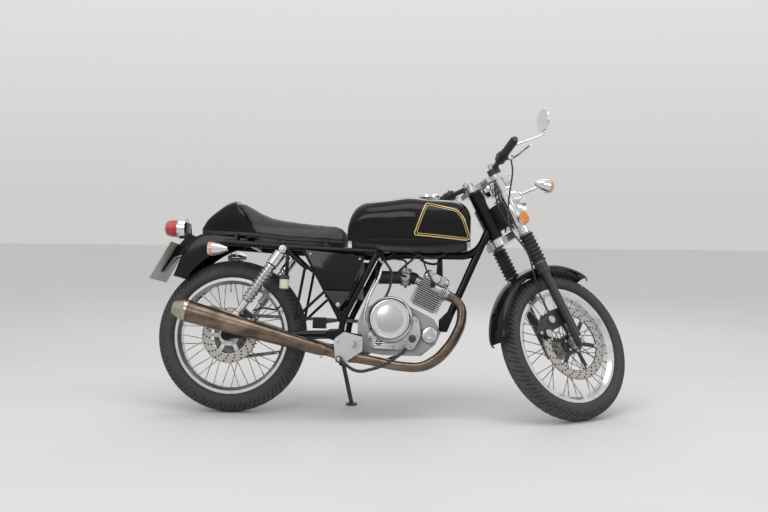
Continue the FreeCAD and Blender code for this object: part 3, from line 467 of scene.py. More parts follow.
def vinyl_finish():
    f = Finish("seat_vinyl", (0.036, 0.033, 0.032), 0.50)
    f.patches(5.0, 5.0, 0.35, 0.7, 1.0, (0.052, 0.048, 0.046), 0.56)
    leather = f.cells(420.0)
    f.layer(f.ramp(leather, 0.0, 0.35, 0.5, 0.0), (0.022, 0.020, 0.019), 0.62)
    f.edges(0.3, (0.10, 0.092, 0.085), 0.5, 0.006).dust(0.35, (0.14, 0.125, 0.11), 0.7)
    f.bump(leather, 0.00035, 0.55).bump(f.cells(1100.0), 0.0001, 0.35)
    return f.grain(28.0, 3.0, 0.0012, 0.2).done(Specular_IOR_Level=0.42)


def gold_finish():
    f = Finish("pinstripe_gold", (0.62, 0.42, 0.13), 0.30)
    f.patches(40.0, 4.0, 0.35, 0.7, 1.0, (0.72, 0.52, 0.20), 0.36)
    f.patches(400.0, 3.0, 0.6, 0.8, 0.4, (0.40, 0.26, 0.09), 0.5)
    return f.grain(600.0, 2.0, 0.00004, 0.3).done(Coat_Weight=0.6, Coat_Roughness=0.05)


def lens_finish(name, colour, deep):
    f = Finish(name, colour, 0.12)
    f.layer(f.ramp(f.cells(520.0), 0.1, 0.6, 0.0, 0.7), deep, 0.16)
    f.patches(30.0, 4.0, 0.4, 0.75, 0.35, deep, 0.22).bump(f.cells(520.0), 0.0006, 0.5)
    return f.done(Coat_Weight=0.8, Coat_Roughness=0.03, Specular_IOR_Level=0.6)


def glass_finish():
    """Headlamp glass with upright flutes."""
    f = Finish("headlamp_glass", (0.66, 0.69, 0.70), 0.06)
    across = heading(LEFT, TURNED)
    turn = f.new("ShaderNodeMapping", {"Vector": f.place, "Rotation": (
        0, 0, math.atan2(across.y, across.x))}).outputs[0]
    flutes = f.new("ShaderNodeTexWave", {"Scale": 22.0, "Vector": turn}).outputs["Fac"]
    f.layer(f.ramp(flutes, 0.2, 0.9, 0.0, 0.6), (0.30, 0.33, 0.35), 0.1)
    f.patches(20.0, 3.0, 0.4, 0.7, 0.5, (0.82, 0.84, 0.85), 0.05).bump(flutes, 0.0012, 0.6)
    return f.done(Coat_Weight=1.0, Coat_Roughness=0.02, Specular_IOR_Level=0.7)


def mirror_finish():
    f = Finish("mirror_glass", (0.80, 0.82, 0.85), 0.02, 1.0)
    f.patches(16.0, 5.0, 0.6, 0.85, 0.3, (0.55, 0.56, 0.58), 0.12)
    return f.grain(30.0, 2.0, 0.00005, 0.1).done()


frame_paint, tank_paint = gloss_black("frame_paint", 0.14), gloss_black("tank_paint", 0.05)
panel_paint, cover_alloy, rear_brake_paint = panel_finish(), cover_finish(), rear_brake_finish()
bolt_steel = steel("bolt_steel", 0.52, 0.28, 0.35)
bright = alloy("bright_alloy", 0.72, 0.18, 0.3, 0.1)
trim_rubber = rubber("trim_rubber", 0.014, 0.5, 0.15)
trim_chrome = chrome("trim_chrome", 0.74, 0.08, 0.25)
red = lens_finish("red_lens", (0.62, 0.012, 0.014), (0.26, 0.003, 0.005))
amber = lens_finish("amber_lens", (0.86, 0.26, 0.012), (0.48, 0.10, 0.004))
silencer_start = at(420, -166, 261)
silencer_axis = at(-200, -198, 422) - silencer_start
GREY, BLACK = (0.60, 0.60, 0.60), (0.014, 0.014, 0.015)

for node, material in {
        "rear_rim": rim_finish("rear_rim_polish", rear_centre, FIXED),
        "front_rim": rim_finish("front_rim_polish", front_centre, TURNED),
        "rear_disc": disc_finish("rear_disc_steel", rear_centre, REAR_DISC, FIXED, GREY),
        "front_disc": disc_finish("front_disc_steel", front_centre, FRONT_DISC, TURNED, BLACK),
        "frame": frame_paint, "swingarm": gloss_black("swingarm_paint", 0.3, 1.3),
        "fuel_tank": tank_paint, "seat_hump": tank_paint,
        "rear_mudguard": tank_paint, "front_mudguard": tank_paint,
        "side_panels": panel_paint, "engine_covers": cover_alloy,
        "battery_box": satin_black("battery_box_plastic", 0.022, 0.5, 0.3),
        "engine_case": alloy("engine_case_alloy", 0.34, 0.40, 0.8, 0.6),
        "cylinder": alloy("cylinder_alloy", 0.48, 0.32, 0.75, 0.45),
        "cylinder_head": alloy("cylinder_head_alloy", 0.48, 0.30, 0.7, 0.45),
        "intake": trim_rubber, "rear_brake": rear_brake_paint,
        "silencers": exhaust_finish("silencer_steel", silencer_start, silencer_axis),
        "exhaust_headers": exhaust_finish("header_steel"),
        "filler_cap": chrome("filler_cap_chrome", 0.74, 0.09, 0.2),
        "tail_lamp": chrome("tail_lamp_chrome", 0.74, 0.08, 0.2),
        "rear_indicators": chrome("rear_indicators_chrome", 0.72, 0.08, 0.25),
        "front_indicators": chrome("front_indicators_chrome", 0.72, 0.08, 0.25),
        "number_plate": plate_finish(), "rear_shocks": shock_finish(),
        "footrests": alloy("footrest_alloy", 0.60, 0.24, 0.5, 0.2),
        "foot_pedals": satin_black("pedal_paint", 0.014, 0.3, 0.12),
        "chain": chain_finish(), "rear_sprocket": steel("rear_sprocket_steel", 0.34, 0.36, 0.3),
        "yokes": alloy("yoke_alloy", 0.70, 0.22, 0.3, 0.12),
        "headlamp_brackets": alloy("shroud_alloy", 0.74, 0.2, 0.25, 0.08),
        "fork_stanchions": chrome("stanchion_chrome", 0.74, 0.06, 0.15),
        "fork_sliders": slider_finish(), "fork_gaiters": rubber("gaiter_rubber", 0.014, 0.55, 0.18),
        "handlebars": satin_black("bar_paint", 0.020, 0.34, 0.1),
        "grips": rubber("grip_rubber", 0.013, 0.58, 0.15), "controls": control_finish(),
        "mirror": chrome("mirror_chrome", 0.76, 0.06, 0.12),
        "headlamp": chrome("headlamp_chrome", 0.74, 0.07, 0.2),
        "front_caliper": satin_black("front_caliper_paint", 0.014, 0.36, 0.15),
        "side_stand": satin_black("stand_paint", 0.030, 0.45, 0.3),
        "instruments": instrument_finish()}.items():
    worn = nodes[node].data.materials
    for place in range(len(worn)):
        worn[place] = material
    if not worn:
        worn.append(material)


# Mesh pieces, built in the machine's own upright frame in millimetres
def basis(direction):
    z = Vector(direction).normalized()
    x = (UP if abs(z.z) < 0.9 else AHEAD).cross(z).normalized()
    return x, z.cross(x), z


def circle(middle, x, y, radius, sides, phase=0.0):
    """Points round a middle, or the middle alone where the radius is nothing."""
    turns = [2 * math.pi * (number + phase) / sides for number in range(sides)]
    return [middle + (x * math.cos(turn) + y * math.sin(turn)) * radius
            for turn in turns] if radius > 1e-6 else [middle]


def skin(bm, rows, closed=True, caps=2, ring=False):
    """Faces between rows of points; a row of one point ends in a fan. Returns the faces."""
    made = [[bm.verts.new(point) for point in row] for row in rows]
    count = max(len(row) for row in made)
    faces = []
    for low, high in zip(made, made[1:] + made[:1] * ring):
        for i in range(count if closed else count - 1):
            j = (i + 1) % count
            corners = dict.fromkeys((low[i % len(low)], low[j % len(low)], high[j % len(high)],
                                     high[i % len(high)]))
            if len(corners) > 2:
                faces.append(bm.faces.new(list(corners)))
    if caps > 1 and len(made[0]) > 1:
        faces.append(bm.faces.new(list(reversed(made[0]))))
    if caps and len(made[-1]) > 1:
        faces.append(bm.faces.new(made[-1]))
    return faces


def lathe(bm, profile, start, direction, sides=24, phase=0.0):
    """A turned form: pairs of distance along the axis and radius."""
    x, y, z = basis(direction)
    skin(bm, [circle(Vector(start) + z * distance, x, y, radius, sides, phase)
              for distance, radius in profile])


def hexagon(bm, seat, direction, size, height):
    """A hexagon bolt head with a chamfered crown on a washer."""
    lathe(bm, [(0, size * 1.25), (1.0, size * 1.25), (1.3, size * 1.15)], seat, direction, 20)
    lathe(bm, [(1.2, size), (height - size * 0.12, size), (height, size * 0.86), (height, 0)],
          seat, direction, 6, dice.random())


def socket(bm, seat, direction, size, height):
    """A socket screw: a round head with a sunk hexagon."""
    lathe(bm, [(0, size * 0.98), (height - size * 0.15, size), (height, size * 0.86),
               (height, size * 0.52), (height * 0.45, size * 0.50), (height * 0.45, 0)],
          seat, direction, 18)


def sweep(bm, points, radius, sides=10, closed=False):
    """A round bead along a line of points."""
    points = [Vector(p) for p in points]
    count = len(points)
    rings = []
    side = None
    for number, point in enumerate(points):
        after = points[(number + 1) % count] if closed or number < count - 1 else point
        before = points[number - 1] if closed or number > 0 else point
        run = (after - before).normalized()
        side = side or basis(run)[0]
        side = (side - run * side.dot(run)).normalized()
        rings.append(circle(point, side, run.cross(side), radius, sides))
    skin(bm, rings, True, 0 if closed else 2, closed)


def smooth_line(points, steps=10):
    """Points on a smooth curve through the given points."""
    points = [Vector(p) for p in points]
    points = [points[0] * 2 - points[1], *points, points[-1] * 2 - points[-2]]
    line = []
    for p0, p1, p2, p3 in zip(points, points[1:], points[2:], points[3:]):
        for step in range(steps):
            t = step / steps
            line.append(0.5 * ((2 * p1) + (p2 - p0) * t + (2 * p0 - 5 * p1 + 4 * p2 - p3) * t * t
                               + (3 * p1 - p0 - 3 * p2 + p3) * t ** 3))
    return [*line, points[-2]]


def pipe(bm, points, steps, radius, sides):
    sweep(bm, smooth_line(points, steps), radius, sides)


def plate(bm, points, low, high, bevel=1.5, segments=2):
    """A side-view outline made solid between two distances to the left, with eased edges."""
    near, far = ([bm.verts.new((x, level, z)) for x, z in points] for level in (low, high))
    faces = [bm.faces.new(near), bm.faces.new(list(reversed(far)))]
    for i in range(len(points)):
        j = (i + 1) % len(points)
        faces.append(bm.faces.new((near[j], near[i], far[i], far[j])))
    edges = list({edge for face in faces for edge in face.edges})
    bmesh.ops.bevel(bm, geom=edges, offset=bevel, segments=segments, profile=0.6,
                    affect="EDGES", clamp_overlap=True)


def side_plate(bm, points, side, inner, outer, bevel=1.5, segments=2):
    plate(bm, points, *sorted((side * inner, side * outer)), bevel, segments)


def eased_box(bm, place, low, high, bevel):
    """A block with eased edges in a frame of its own."""
    fresh = bmesh.new()
    corners = [fresh.verts.new((x, y, z)) for x in (low[0], high[0]) for y in (low[1], high[1])
               for z in (low[2], high[2])]
    for ring in ((0, 1, 3, 2), (4, 6, 7, 5), (0, 4, 5, 1), (2, 3, 7, 6), (0, 2, 6, 4),
                 (1, 5, 7, 3)):
        fresh.faces.new([corners[i] for i in ring])
    bmesh.ops.bevel(fresh, geom=list(fresh.edges), offset=bevel, segments=3, profile=0.6,
                    affect="EDGES", clamp_overlap=True)
    fresh.transform(place)
    made = bpy.data.meshes.new("block")
    fresh.to_mesh(made)
    fresh.free()
    bm.from_mesh(made)
    bpy.data.meshes.remove(made)


def finer_rows(rows, steps):
    """More rows on smooth curves through the given ones."""
    return list(zip(*(smooth_line(line, steps) for line in zip(*rows))))


def thicken(bm, thickness):
    bmesh.ops.recalc_face_normals(bm, faces=bm.faces)
    bmesh.ops.solidify(bm, geom=list(bm.faces), thickness=thickness)


def build(name, body, material, slot, angle, *parts, instead_of=None):
    """Turns shapes into an object in the row frame that rides on a body."""
    bm = bmesh.new()
    for shape, *settings in parts:
        shape(bm, *settings)
    bmesh.ops.recalc_face_normals(bm, faces=bm.faces)
    mesh = bpy.data.meshes.new(name)
    bm.to_mesh(mesh)
    bm.free()
    mesh.transform(POSES[body])
    for polygon in mesh.polygons:
        polygon.use_smooth = True
    mesh.set_sharp_from_angle(angle=math.radians(angle))
    mesh.materials.append(material)
    made = bpy.data.objects.new(name, mesh)
    scene.collection.objects.link(made)
    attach(made, body)
    if instead_of:
        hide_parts(instead_of)


def surface(holder):
    """An object's surface in the upright frame, for laying things on it."""
    back = FIXED.inverted()
    return BVHTree.FromPolygons([back @ vertex.co for vertex in holder.data.vertices],
                                [list(face.vertices) for face in holder.data.polygons])


# Tyres with their tread
def tread_tyre(name, body, node, centre, radius, half, rim_half, pitches):
    """The road tyre: diagonal grooves over a round crown, and ribbed walls."""
    bead, crown, lip, foot = rim_half - 3.4, radius - half, 243.7, 234.0
    reach, drop = half - bead, crown - lip
    wall = (reach ** 2 + drop ** 2) / (2 * reach)
    corner = math.atan2(drop, wall - reach)
    section = []
    for degrees in sorted({*range(-90, 91, 5), *(sign * extra for sign in SIDES
                                                 for extra in (5.2, 7.5, 30.5, 32, 61, 63))}):
        out = Vector((math.sin(math.radians(degrees)), math.cos(math.radians(degrees))))
        section.append((half * out.x, crown + half * out.y, degrees, out))
    walls = []
    for step in range(1, 13):
        tilt = -corner * step / 12
        arc = wall + {3: -0.7, 10: -0.7, 5: -0.35, 6: -0.35}.get(step, 0.0)
        walls.append((half - wall + arc * math.cos(tilt), crown + arc * math.sin(tilt), 95 + step,
                      Vector((1, 0))))
    left = [(-a, r, -d, Vector((-1, 0))) for a, r, d, n in reversed(walls)]
    profile = ([(-bead, foot, -120, Vector((0, 1)))] + left + section + walls
               + [(bead, foot, 120, Vector((0, 1)))])
    rows = []
    for pitch in range(pitches):
        for share in (0.0, 0.035, 0.145, 0.18, 0.30, 0.42, 0.535, 0.565, 0.635, 0.665, 0.80, 0.90):
            line = []
            for across, up, degrees, out in profile:
                shear = (0.95 * (min(abs(degrees), 75.0) / 75.0) ** 0.85
                         + (0.5 if degrees > 0 else 0.0))
                if abs(degrees) <= 4.0:
                    shear = 0.25 + 0.25 * degrees / 4.0
                depth = 0.0
                if share in (0.035, 0.145) and 7.0 < abs(degrees) < 62.0:
                    depth = 3.6
                if share in (0.565, 0.635) and 31.0 < abs(degrees) < 72.0:
                    depth = 2.8
                line.append(polar(centre, up - depth * out.y, 360 * (pitch + share + shear) / pitches,
                                  across - depth * out.x))
            rows.append(line)
    material = tyre_finish(node + "_rubber", centre, radius, POSES[body])
    build(name, body, material, "tyre", 32, (skin, rows, True, 0, True), instead_of=node)


tread_tyre("rear_tyre_tread", "rear_wheel", "rear_tyre", rear_centre, REAR_RADIUS, REAR_HALF,
           REAR_RIM_HALF, 44)
tread_tyre("front_tyre_tread", "front_wheel", "front_tyre", front_centre, FRONT_RADIUS,
           FRONT_HALF, FRONT_RIM_HALF, 46)


# Spoke nipples and valve stems
def wheel_trim(name, body, centre, half):
    parts = []
    for number in range(36):
        side = 1 if number % 2 else -1
        turn = 1 if (number // 2) % 2 else -1
        start = polar(centre, 39, 10.0 * number + turn * 62, side * 32.5)
        end = polar(centre, 219, 10.0 * number, side * half * 0.15)
        parts.append((lathe, [(0.5, 3.6), (5.0, 3.4), (6.0, 2.9), (17.0, 2.7), (18.0, 2.1),
                              (18.0, 0)], end, start - end, 8))
    foot = polar(centre, 217, 95)
    build(name, body, bolt_steel, "steel", 40, *parts,
          (lathe, [(0, 5.5), (2, 5.5), (3, 4.0), (20, 3.6), (21, 4.4), (31, 4.2), (33, 3.0),
                   (33, 0)], foot, centre - foot, 12))


wheel_trim("rear_nipples", "rear_wheel", rear_centre, REAR_RIM_HALF)
wheel_trim("front_nipples", "front_wheel", front_centre, FRONT_RIM_HALF)

# Brake discs: slanted rows of three holes on both faces, band buttons and hub bolts
# The holes are thin near-black discs on the disc faces: painted shade where the openings are.
painted_hole_shade = steel("painted_hole_shade", 0.045, 0.5, 0.4)
WHEELS = (("front", front_centre, FRONT_DISC, 24), ("rear", rear_centre, REAR_DISC, 18))
for end, centre, radius, rows in WHEELS:
    build(end + "_disc_drillings", end + "_wheel", painted_hole_shade, "steel", 35, *[
        (lathe, [(0.05, 3.9), (0.3, 3.7), (0.25, 3.3), (0.1, 3.0), (0.1, 0)],
         polar(centre, radius - depth, 360 * number / rows + place * 4.5, level), way, 14)
        for number in range(rows) for place, depth in enumerate((8, 19, 30))
        for level, way in ((-62, -LEFT), (-57, LEFT))])
for end, centre, radius, rows in WHEELS:
    size = 6.2
    build(end + "_disc_bolts", end + "_wheel", bolt_steel, "steel", 35, *[
        part for number in range(6) for part in (
            (lathe, [(0, size), (1.6, size), (2.3, size * 0.8), (1.4, size * 0.5), (1.4, 0)],
             polar(centre, radius - 43, 60 * number, -62), -LEFT, 18),
            (hexagon, polar(centre, 37.5, 60 * number, -62), -LEFT, 5.0, 4.6))])
build("sprocket_bolts", "rear_wheel", bolt_steel, "steel", 35, *[
    (hexagon, polar(rear_centre, 36, 60 * number + 30, 71.5), LEFT, 5.5, 5.5)
    for number in range(6)])


# Seat: a padded vinyl cushion over the solid's own shape
def seat_base(ahead):
    return 716 + (462 - ahead) * 0.035 if ahead > 236 else 724 + (236 - ahead) * 0.116


def puff(made, even, upright):
    """Fills the cover with a little pressure, held along its base and its ends."""
    rest = [vertex.co.copy() for vertex in even.vertices]
    group = made.vertex_groups.new(name="base")
    for number, spot in enumerate(upright):
        height = spot.z - seat_base(spot.x)
        share = 1.0 if height < 9 else max(0.0, 1 - (height - 9) / 10)
        if spot.x < 26 or spot.x > 455:
            share = max(share, 0.7)
        if share > 0:
            group.add([number], share, "REPLACE")
    cloth = made.modifiers.new("fill", "CLOTH")
    for key, value in (("quality", 6), ("mass", 0.3), ("use_pressure", True),
                       ("uniform_pressure_force", 4.0), ("vertex_group_mass", "base"),
                       ("tension_stiffness", 20), ("compression_stiffness", 20),
                       ("bending_stiffness", 1.5)):
        setattr(cloth.settings, key, value)
    cloth.settings.effector_weights.gravity = 0.0
    cloth.collision_settings.use_self_collision = False
    cloth.point_cache.frame_start = 1
    cloth.point_cache.frame_end = 20
    for step in range(1, 21):
        scene.frame_set(step)
    puffed = made.evaluated_get(bpy.context.evaluated_depsgraph_get())
    moved = [vertex.co.copy() for vertex in puffed.to_mesh().vertices]
    puffed.to_mesh_clear()
    made.modifiers.clear()
    made.vertex_groups.clear()
    easy, most = 0.0065, 0.0085
    for number, spot in enumerate(moved):
        shift = spot - rest[number]
        if shift.length > easy:
            shift = shift.normalized() * (easy + (shift.length - easy) * 0.04)
        if shift.length > most:
            shift = shift.normalized() * most
        even.vertices[number].co = rest[number] + shift
    scene.frame_set(1)


def applied(made):
    """The object's mesh with its modifiers applied and cleared."""
    graph = bpy.context.evaluated_depsgraph_get()
    mesh = bpy.data.meshes.new_from_object(made.evaluated_get(graph))
    made.modifiers.clear()
    made.data = mesh
    return mesh


def seat_cushion():
    mesh = nodes["seat"].data.copy()
    made = bpy.data.objects.new("seat_cushion", mesh)
    scene.collection.objects.link(made)
    back = FIXED.inverted()
    middle = 750
    for vertex in mesh.vertices:
        spot = back @ vertex.co
        spot.y *= 0.965
        spot.z = middle + (spot.z - middle) * (0.955 if spot.z > middle else 0.99)
        vertex.co = FIXED @ spot
    remesh = made.modifiers.new("even", "REMESH")
    remesh.mode = "VOXEL"
    remesh.voxel_size = 0.0052
    even = applied(made)
    puff(made, even, [back @ vertex.co for vertex in even.vertices])
    for vertex in even.vertices:
        spot = back @ vertex.co
        rise = spot.z - seat_base(spot.x)
        edge = abs(spot.y) / (117.4 - max(0.0, spot.x - 200) * 0.09)
        if rise > 16 and edge > 0.55:
            waist = math.sin(min(max((rise - 12) / 34, 0), 1) * math.pi)
            spot.y -= math.copysign(2.6 * waist * min((edge - 0.55) / 0.35, 1), spot.y)
        wrinkle = math.sin(spot.x * 0.11 + spot.y * 0.03) * math.sin(spot.y * 0.07 + 1.3)
        if rise > 20:
            spot.z += 0.35 * wrinkle
        vertex.co = FIXED @ spot
    smooth = made.modifiers.new("smooth", "SMOOTH")
    smooth.factor = 0.5
    smooth.iterations = 3
    finer = made.modifiers.new("finer", "SUBSURF")
    finer.levels = finer.render_levels = 1
    for polygon in applied(made).polygons:
        polygon.use_smooth = True
    return made


cushion = seat_cushion()
cushion.data.materials.clear()
cushion.data.materials.append(vinyl_finish())
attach(cushion, "chassis")
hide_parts("seat")


def seat_trim():
    """Piping along the lower edge, with a row of stitches above it."""
    cover = surface(cushion)
    piping, threads = [], []

    def laid(ahead, side, level, proud):
        spot, normal = cover.ray_cast(Vector((ahead, side * 200, level)), LEFT * -side)[:2]
        return [spot + normal * proud] if spot else []

    for side in SIDES:
        line = []
        for step in range(64):
            x = 70 + (452 - 70) * step / 63
            line += laid(x, side, seat_base(x) + 20, 0.2)
        piping.append((pipe, line, 2, 1.7, 8))
        for step in range(74):
            x = 72 + (450 - 72) * step / 74
            ends = [spot for shift in (0.0, 3.4)
                    for spot in laid(x + shift, side, seat_base(x) + 26, 0.25)]
            if len(ends) == 2:
                middle = (ends[0] + ends[1]) / 2 + (ends[0] - cover.find_nearest(ends[0])[0]) * 0.6
                threads.append((sweep, [ends[0], middle, ends[1]], 0.45, 6))
    build("seat_piping", "chassis", satin_black("piping_vinyl", 0.03, 0.42, 0.2), "vinyl", 60,
          *piping)
    build("seat_stitches", "chassis", rubber("stitch_thread", 0.05, 0.8, 0.1), "vinyl", 60,
          *threads)


seat_trim()


# Gold double pinstripe frame on both sides of the tank
def rounded(corners, radius, most=0.4, steps=4):
    """A side-view outline whose corners are rounded, with straight runs left whole."""
    points = []
    corners = [Vector(corner) for corner in corners]
    for before, corner, after in zip(corners[-1:] + corners, corners, corners[1:] + corners[:1]):
        cut = min(radius, (before - corner).length * most, (after - corner).length * most)
        start = corner + (before - corner).normalized() * cut
        end = corner + (after - corner).normalized() * cut
        for step in range(steps + 1):
            t = step / steps
            points.append(start * (1 - t) ** 2 + corner * 2 * t * (1 - t) + end * t * t)
    return points


def rounded_path(corners, radius, gap=5.0):
    """A rounded outline as evenly spaced points."""
    points = rounded(corners, radius, 0.45, 6)
    even = []
    for point, following in zip(points, points[1:] + points[:1]):
        steps = max(1, int((following - point).length / gap))
        even += [point.lerp(following, step / steps) for step in range(steps)]
    return even


def inset(corners, distance):
    """The same outline drawn in by a distance."""
    corners = [Vector(corner) for corner in corners]
    middle = sum(corners, Vector((0, 0))) / len(corners)
    made = []
    for before, corner, after in zip(corners[-1:] + corners, corners, corners[1:] + corners[:1]):
        normals = []
        for run in (corner - before, after - corner):
            normal = Vector((-run.y, run.x)).normalized()
            normals.append(-normal if normal.dot(middle - corner) < 0 else normal)
        share = distance / max(1 + normals[0].dot(normals[1]), 0.3)
        made.append(corner + (normals[0] + normals[1]) * share)
    return made


def stripe(bm, outline, side, width):
    """A flat painted line laid on a side of the tank."""
    spots = []
    for point in outline:
        spot, normal = tank_skin.ray_cast(Vector((point.x, side * 260, point.y)),
                                          LEFT * -side)[:2]
        if spot:
            spots.append((spot, normal if normal.y * side > 0 else -normal))
    rows = []
    for number, (spot, normal) in enumerate(spots):
        run = (spots[(number + 1) % len(spots)][0] - spots[number - 1][0]).normalized()
        across = normal.cross(run).normalized()
        rows.append([spot + across * (width / 2) * a + normal * h
                     for a, h in ((-1, -0.3), (-0.96, 0.22), (0.96, 0.22), (1, -0.3))])
    skin(bm, rows, True, 0, True)


tank_skin = surface(nodes["fuel_tank"])
badge = [(811, 872), (936.5, 844), (964, 813), (993, 730), (974, 721), (763.5, 738)]
inner_badge = rounded_path(inset(badge, 8.0), 9)
build("tank_pinstripe", "chassis", gold_finish(), "polished_alloy", 60, *[
    (stripe, outline, side, width) for side in SIDES
    for outline, width in ((rounded_path(badge, 12), 4.2), (inner_badge, 2.2))])

# Tank seam and filler details
build("tank_seam", "chassis", gloss_black("seam_paint", 0.1, 2.2), "black_paint", 60, *[
    (sweep, [spot for step in range(60) for spot in tank_skin.ray_cast(
        Vector((500 + (995 - 500) * step / 59, side * 260, 717)), LEFT * -side)[:1] if spot],
     1.5, 8) for side in SIDES])
cap_top = Vector((816, 0, 924))
build("filler_trim", "chassis", trim_chrome, "chrome", 35, *[
    (lathe, [(0, 1.6), (6.5, 1.6), (7.5, 0.9), (7.5, 0)], spot, UP, 8)
    for spot in circle(cap_top - UP * 14.5, AHEAD, LEFT, 41.5, 24)],
    (lathe, [(0, 12), (1.4, 12), (2.0, 11), (2.0, 4), (1.0, 3.6), (1.0, 0)], cap_top, UP, 24))

# Lamps
lamp_start = Vector((-219.3, 0, 768))
profile = [(31.2, 36.0), (31.2, 37.3), (35, 37.3)]
for number in range(9):
    along = 36 + number * 5.2
    radius = 37.2 - max(0, along - 58) * 0.23
    profile += [(along, radius), (along + 1.4, radius + 0.25), (along + 3.2, radius + 0.25),
                (along + 4.6, radius - 0.5)]
profile += [(84.4, 29.3), (88.5, 26.6), (91.2, 23.4), (91.4, 14), (91.5, 0)]
build("tail_lamp_lens", "chassis", red, "red_lens", 30, (lathe, profile, lamp_start, -AHEAD, 56))
build("tail_lamp_ring", "chassis", trim_chrome, "chrome", 35,
      (lathe, [(25, 45.4), (25, 46.2), (29.5, 46.2), (30.5, 44.5), (32.6, 39.0), (32.6, 37.2)],
       lamp_start, -AHEAD, 56),
      *[(socket, lamp_start + Vector((-31.5, 41.5 * math.cos(turn), 41.5 * math.sin(turn))),
         -AHEAD, 2.6, 2.4) for turn in (math.radians(90 + 120 * number) for number in range(3))])

LENS = 29
lens_profile = [(-17.5, LENS * 0.99), (-17.2, LENS + 0.35), (-12.0, LENS + 0.4),
                (-11.0, LENS + 0.1), (-6.0, LENS - 0.7), (-2.0, LENS - 2.4), (0.3, LENS - 5.0),
                (1.0, LENS * 0.5), (1.2, 0)]
front_tips = [fork_point(640, side * 200, 96) + AHEAD * 60 for side in SIDES]
build("rear_indicator_lenses", "chassis", amber, "red_lens", 30, *[
    (lathe, lens_profile, Vector((-72, side * 172, 664)), -AHEAD, 36) for side in SIDES])
build("front_amber_lenses", "steering", amber, "red_lens", 30, *[
    (lathe, lens_profile, tip, AHEAD, 36) for tip in front_tips])
build("front_lens_rims", "steering", trim_chrome, "chrome", 35, *[
    (lathe, [(-20.5, LENS + 0.2), (-20.2, LENS + 0.9), (-17.4, LENS + 0.9), (-17.0, LENS + 0.3)],
     tip, AHEAD, 36) for tip in front_tips])

lamp_centre = fork_point(620, 0, 62)
build("headlamp_glass", "steering", glass_finish(), "chrome", 50,
      (lathe, [(37.4, 80.2), (38.4, 81.0), (39.4, 78.4), (43.2, 64.5), (46.4, 50.6), (48.0, 34),
               (49.2, 16), (49.6, 0)], lamp_centre, AHEAD, 72))
build("headlamp_rim", "steering", trim_chrome, "chrome", 40,
      (lathe, [(31.8, 86.6), (33.2, 86.9), (37.2, 84.2), (38.9, 82.0), (39.3, 80.4), (38.6, 79.4)],
       lamp_centre, AHEAD, 72),
      (lathe, [(15.4, 82.6), (15.8, 83.4), (17.6, 84.2), (18.2, 86.4)], lamp_centre, AHEAD, 72),
      (socket, lamp_centre + Vector((25, 0, -87.2)), -UP, 3.2, 3.6))


# Instruments: dials with ticks, numbers and needles
def dial_number(bm, value, spot, turn):
    """A raised number, centred on a spot."""
    curve = bpy.data.curves.new("dial_number", "FONT")
    curve.body = value
    curve.size = 6.2
    curve.align_x = curve.align_y = "CENTER"
    curve.extrude = 0.12
    holder = bpy.data.objects.new("dial_number", curve)
    scene.collection.objects.link(holder)
    bpy.context.view_layer.update()
    flat = bpy.data.meshes.new_from_object(holder)
    flat.transform(Matrix.Translation(spot) @ turn)
    bm.from_mesh(flat)
    bpy.data.objects.remove(holder)
    bpy.data.curves.remove(curve)
    bpy.data.meshes.remove(flat)


def dial_way(degrees):
    """The way out from a dial's middle, turned up from the right."""
    angle = math.radians(degrees)
    return -LEFT * math.cos(angle) + dial_up * math.sin(angle)


dial_axis = Vector((-0.35, 0, 0.94)).normalized()
dial_up = dial_axis.cross(-LEFT).normalized()
dial_turn = Matrix((-LEFT, dial_up, dial_axis)).transposed().to_4x4()
faces, marks, needles, rims, numbers = [], [], [], [], []
for side, unit in ((-1, 20), (1, 2)):
    top = fork_point(700, side * 42, 62) + dial_axis * 46.0
    faces.append((lathe, [(0.0, 33.4), (0.5, 33.2), (0.5, 8), (0.7, 0)], top, dial_axis, 48))
    rims.append((lathe, [(-1.0, 38.3), (-0.4, 38.9), (3.6, 38.6), (4.6, 37.4), (4.6, 35.4),
                         (0.8, 33.6)], top, dial_axis, 56))
    for number in range(25):
        out = dial_way(225 - 270 * number / 24)
        inner, half = (27.4, 0.35) if number % 2 else (25.0, 0.65)
        across = dial_axis.cross(out).normalized() * half
        start, end = top + out * inner, top + out * 30.6
        marks.append((skin, [[p + dial_axis * level for p in
                              (start - across, end - across, end + across, start + across)]
                             for level in (0.45, 0.75)], True, 1))
        if number % 4 == 0:
            numbers.append((dial_number, str(number // 4 * unit),
                            top + out * 19.4 + dial_axis * 0.7, dial_turn))
    out = dial_way(225)
    across = dial_axis.cross(out).normalized()
    tip, tail = top + out * 25 + dial_axis * 1.6, top - out * 7 + dial_axis * 1.6
    needles.append((skin, [[p + dial_axis * level for p in (
        tail - across, tip - across * 0.25, tip + across * 0.25, tail + across)]
        for level in (-0.3, 0.3)]))
    needles.append((lathe, [(0.6, 4.2), (2.0, 4.0), (2.6, 2.6), (2.6, 0)], top, dial_axis, 20))
for name, parts, material, slot in (
        ("dial_faces", faces, plain("dial_black", (0.012, 0.012, 0.013), 0.5), "black_plastic"),
        ("dial_rims", rims, trim_chrome, "chrome"),
        ("dial_marks", marks + numbers, plain("dial_white", (0.72, 0.72, 0.69), 0.5), "plate"),
        ("dial_needles", needles, plain("needle_red", (0.62, 0.05, 0.02), 0.4), "red_lens")):
    build(name, "steering", material, slot, 35, *parts)

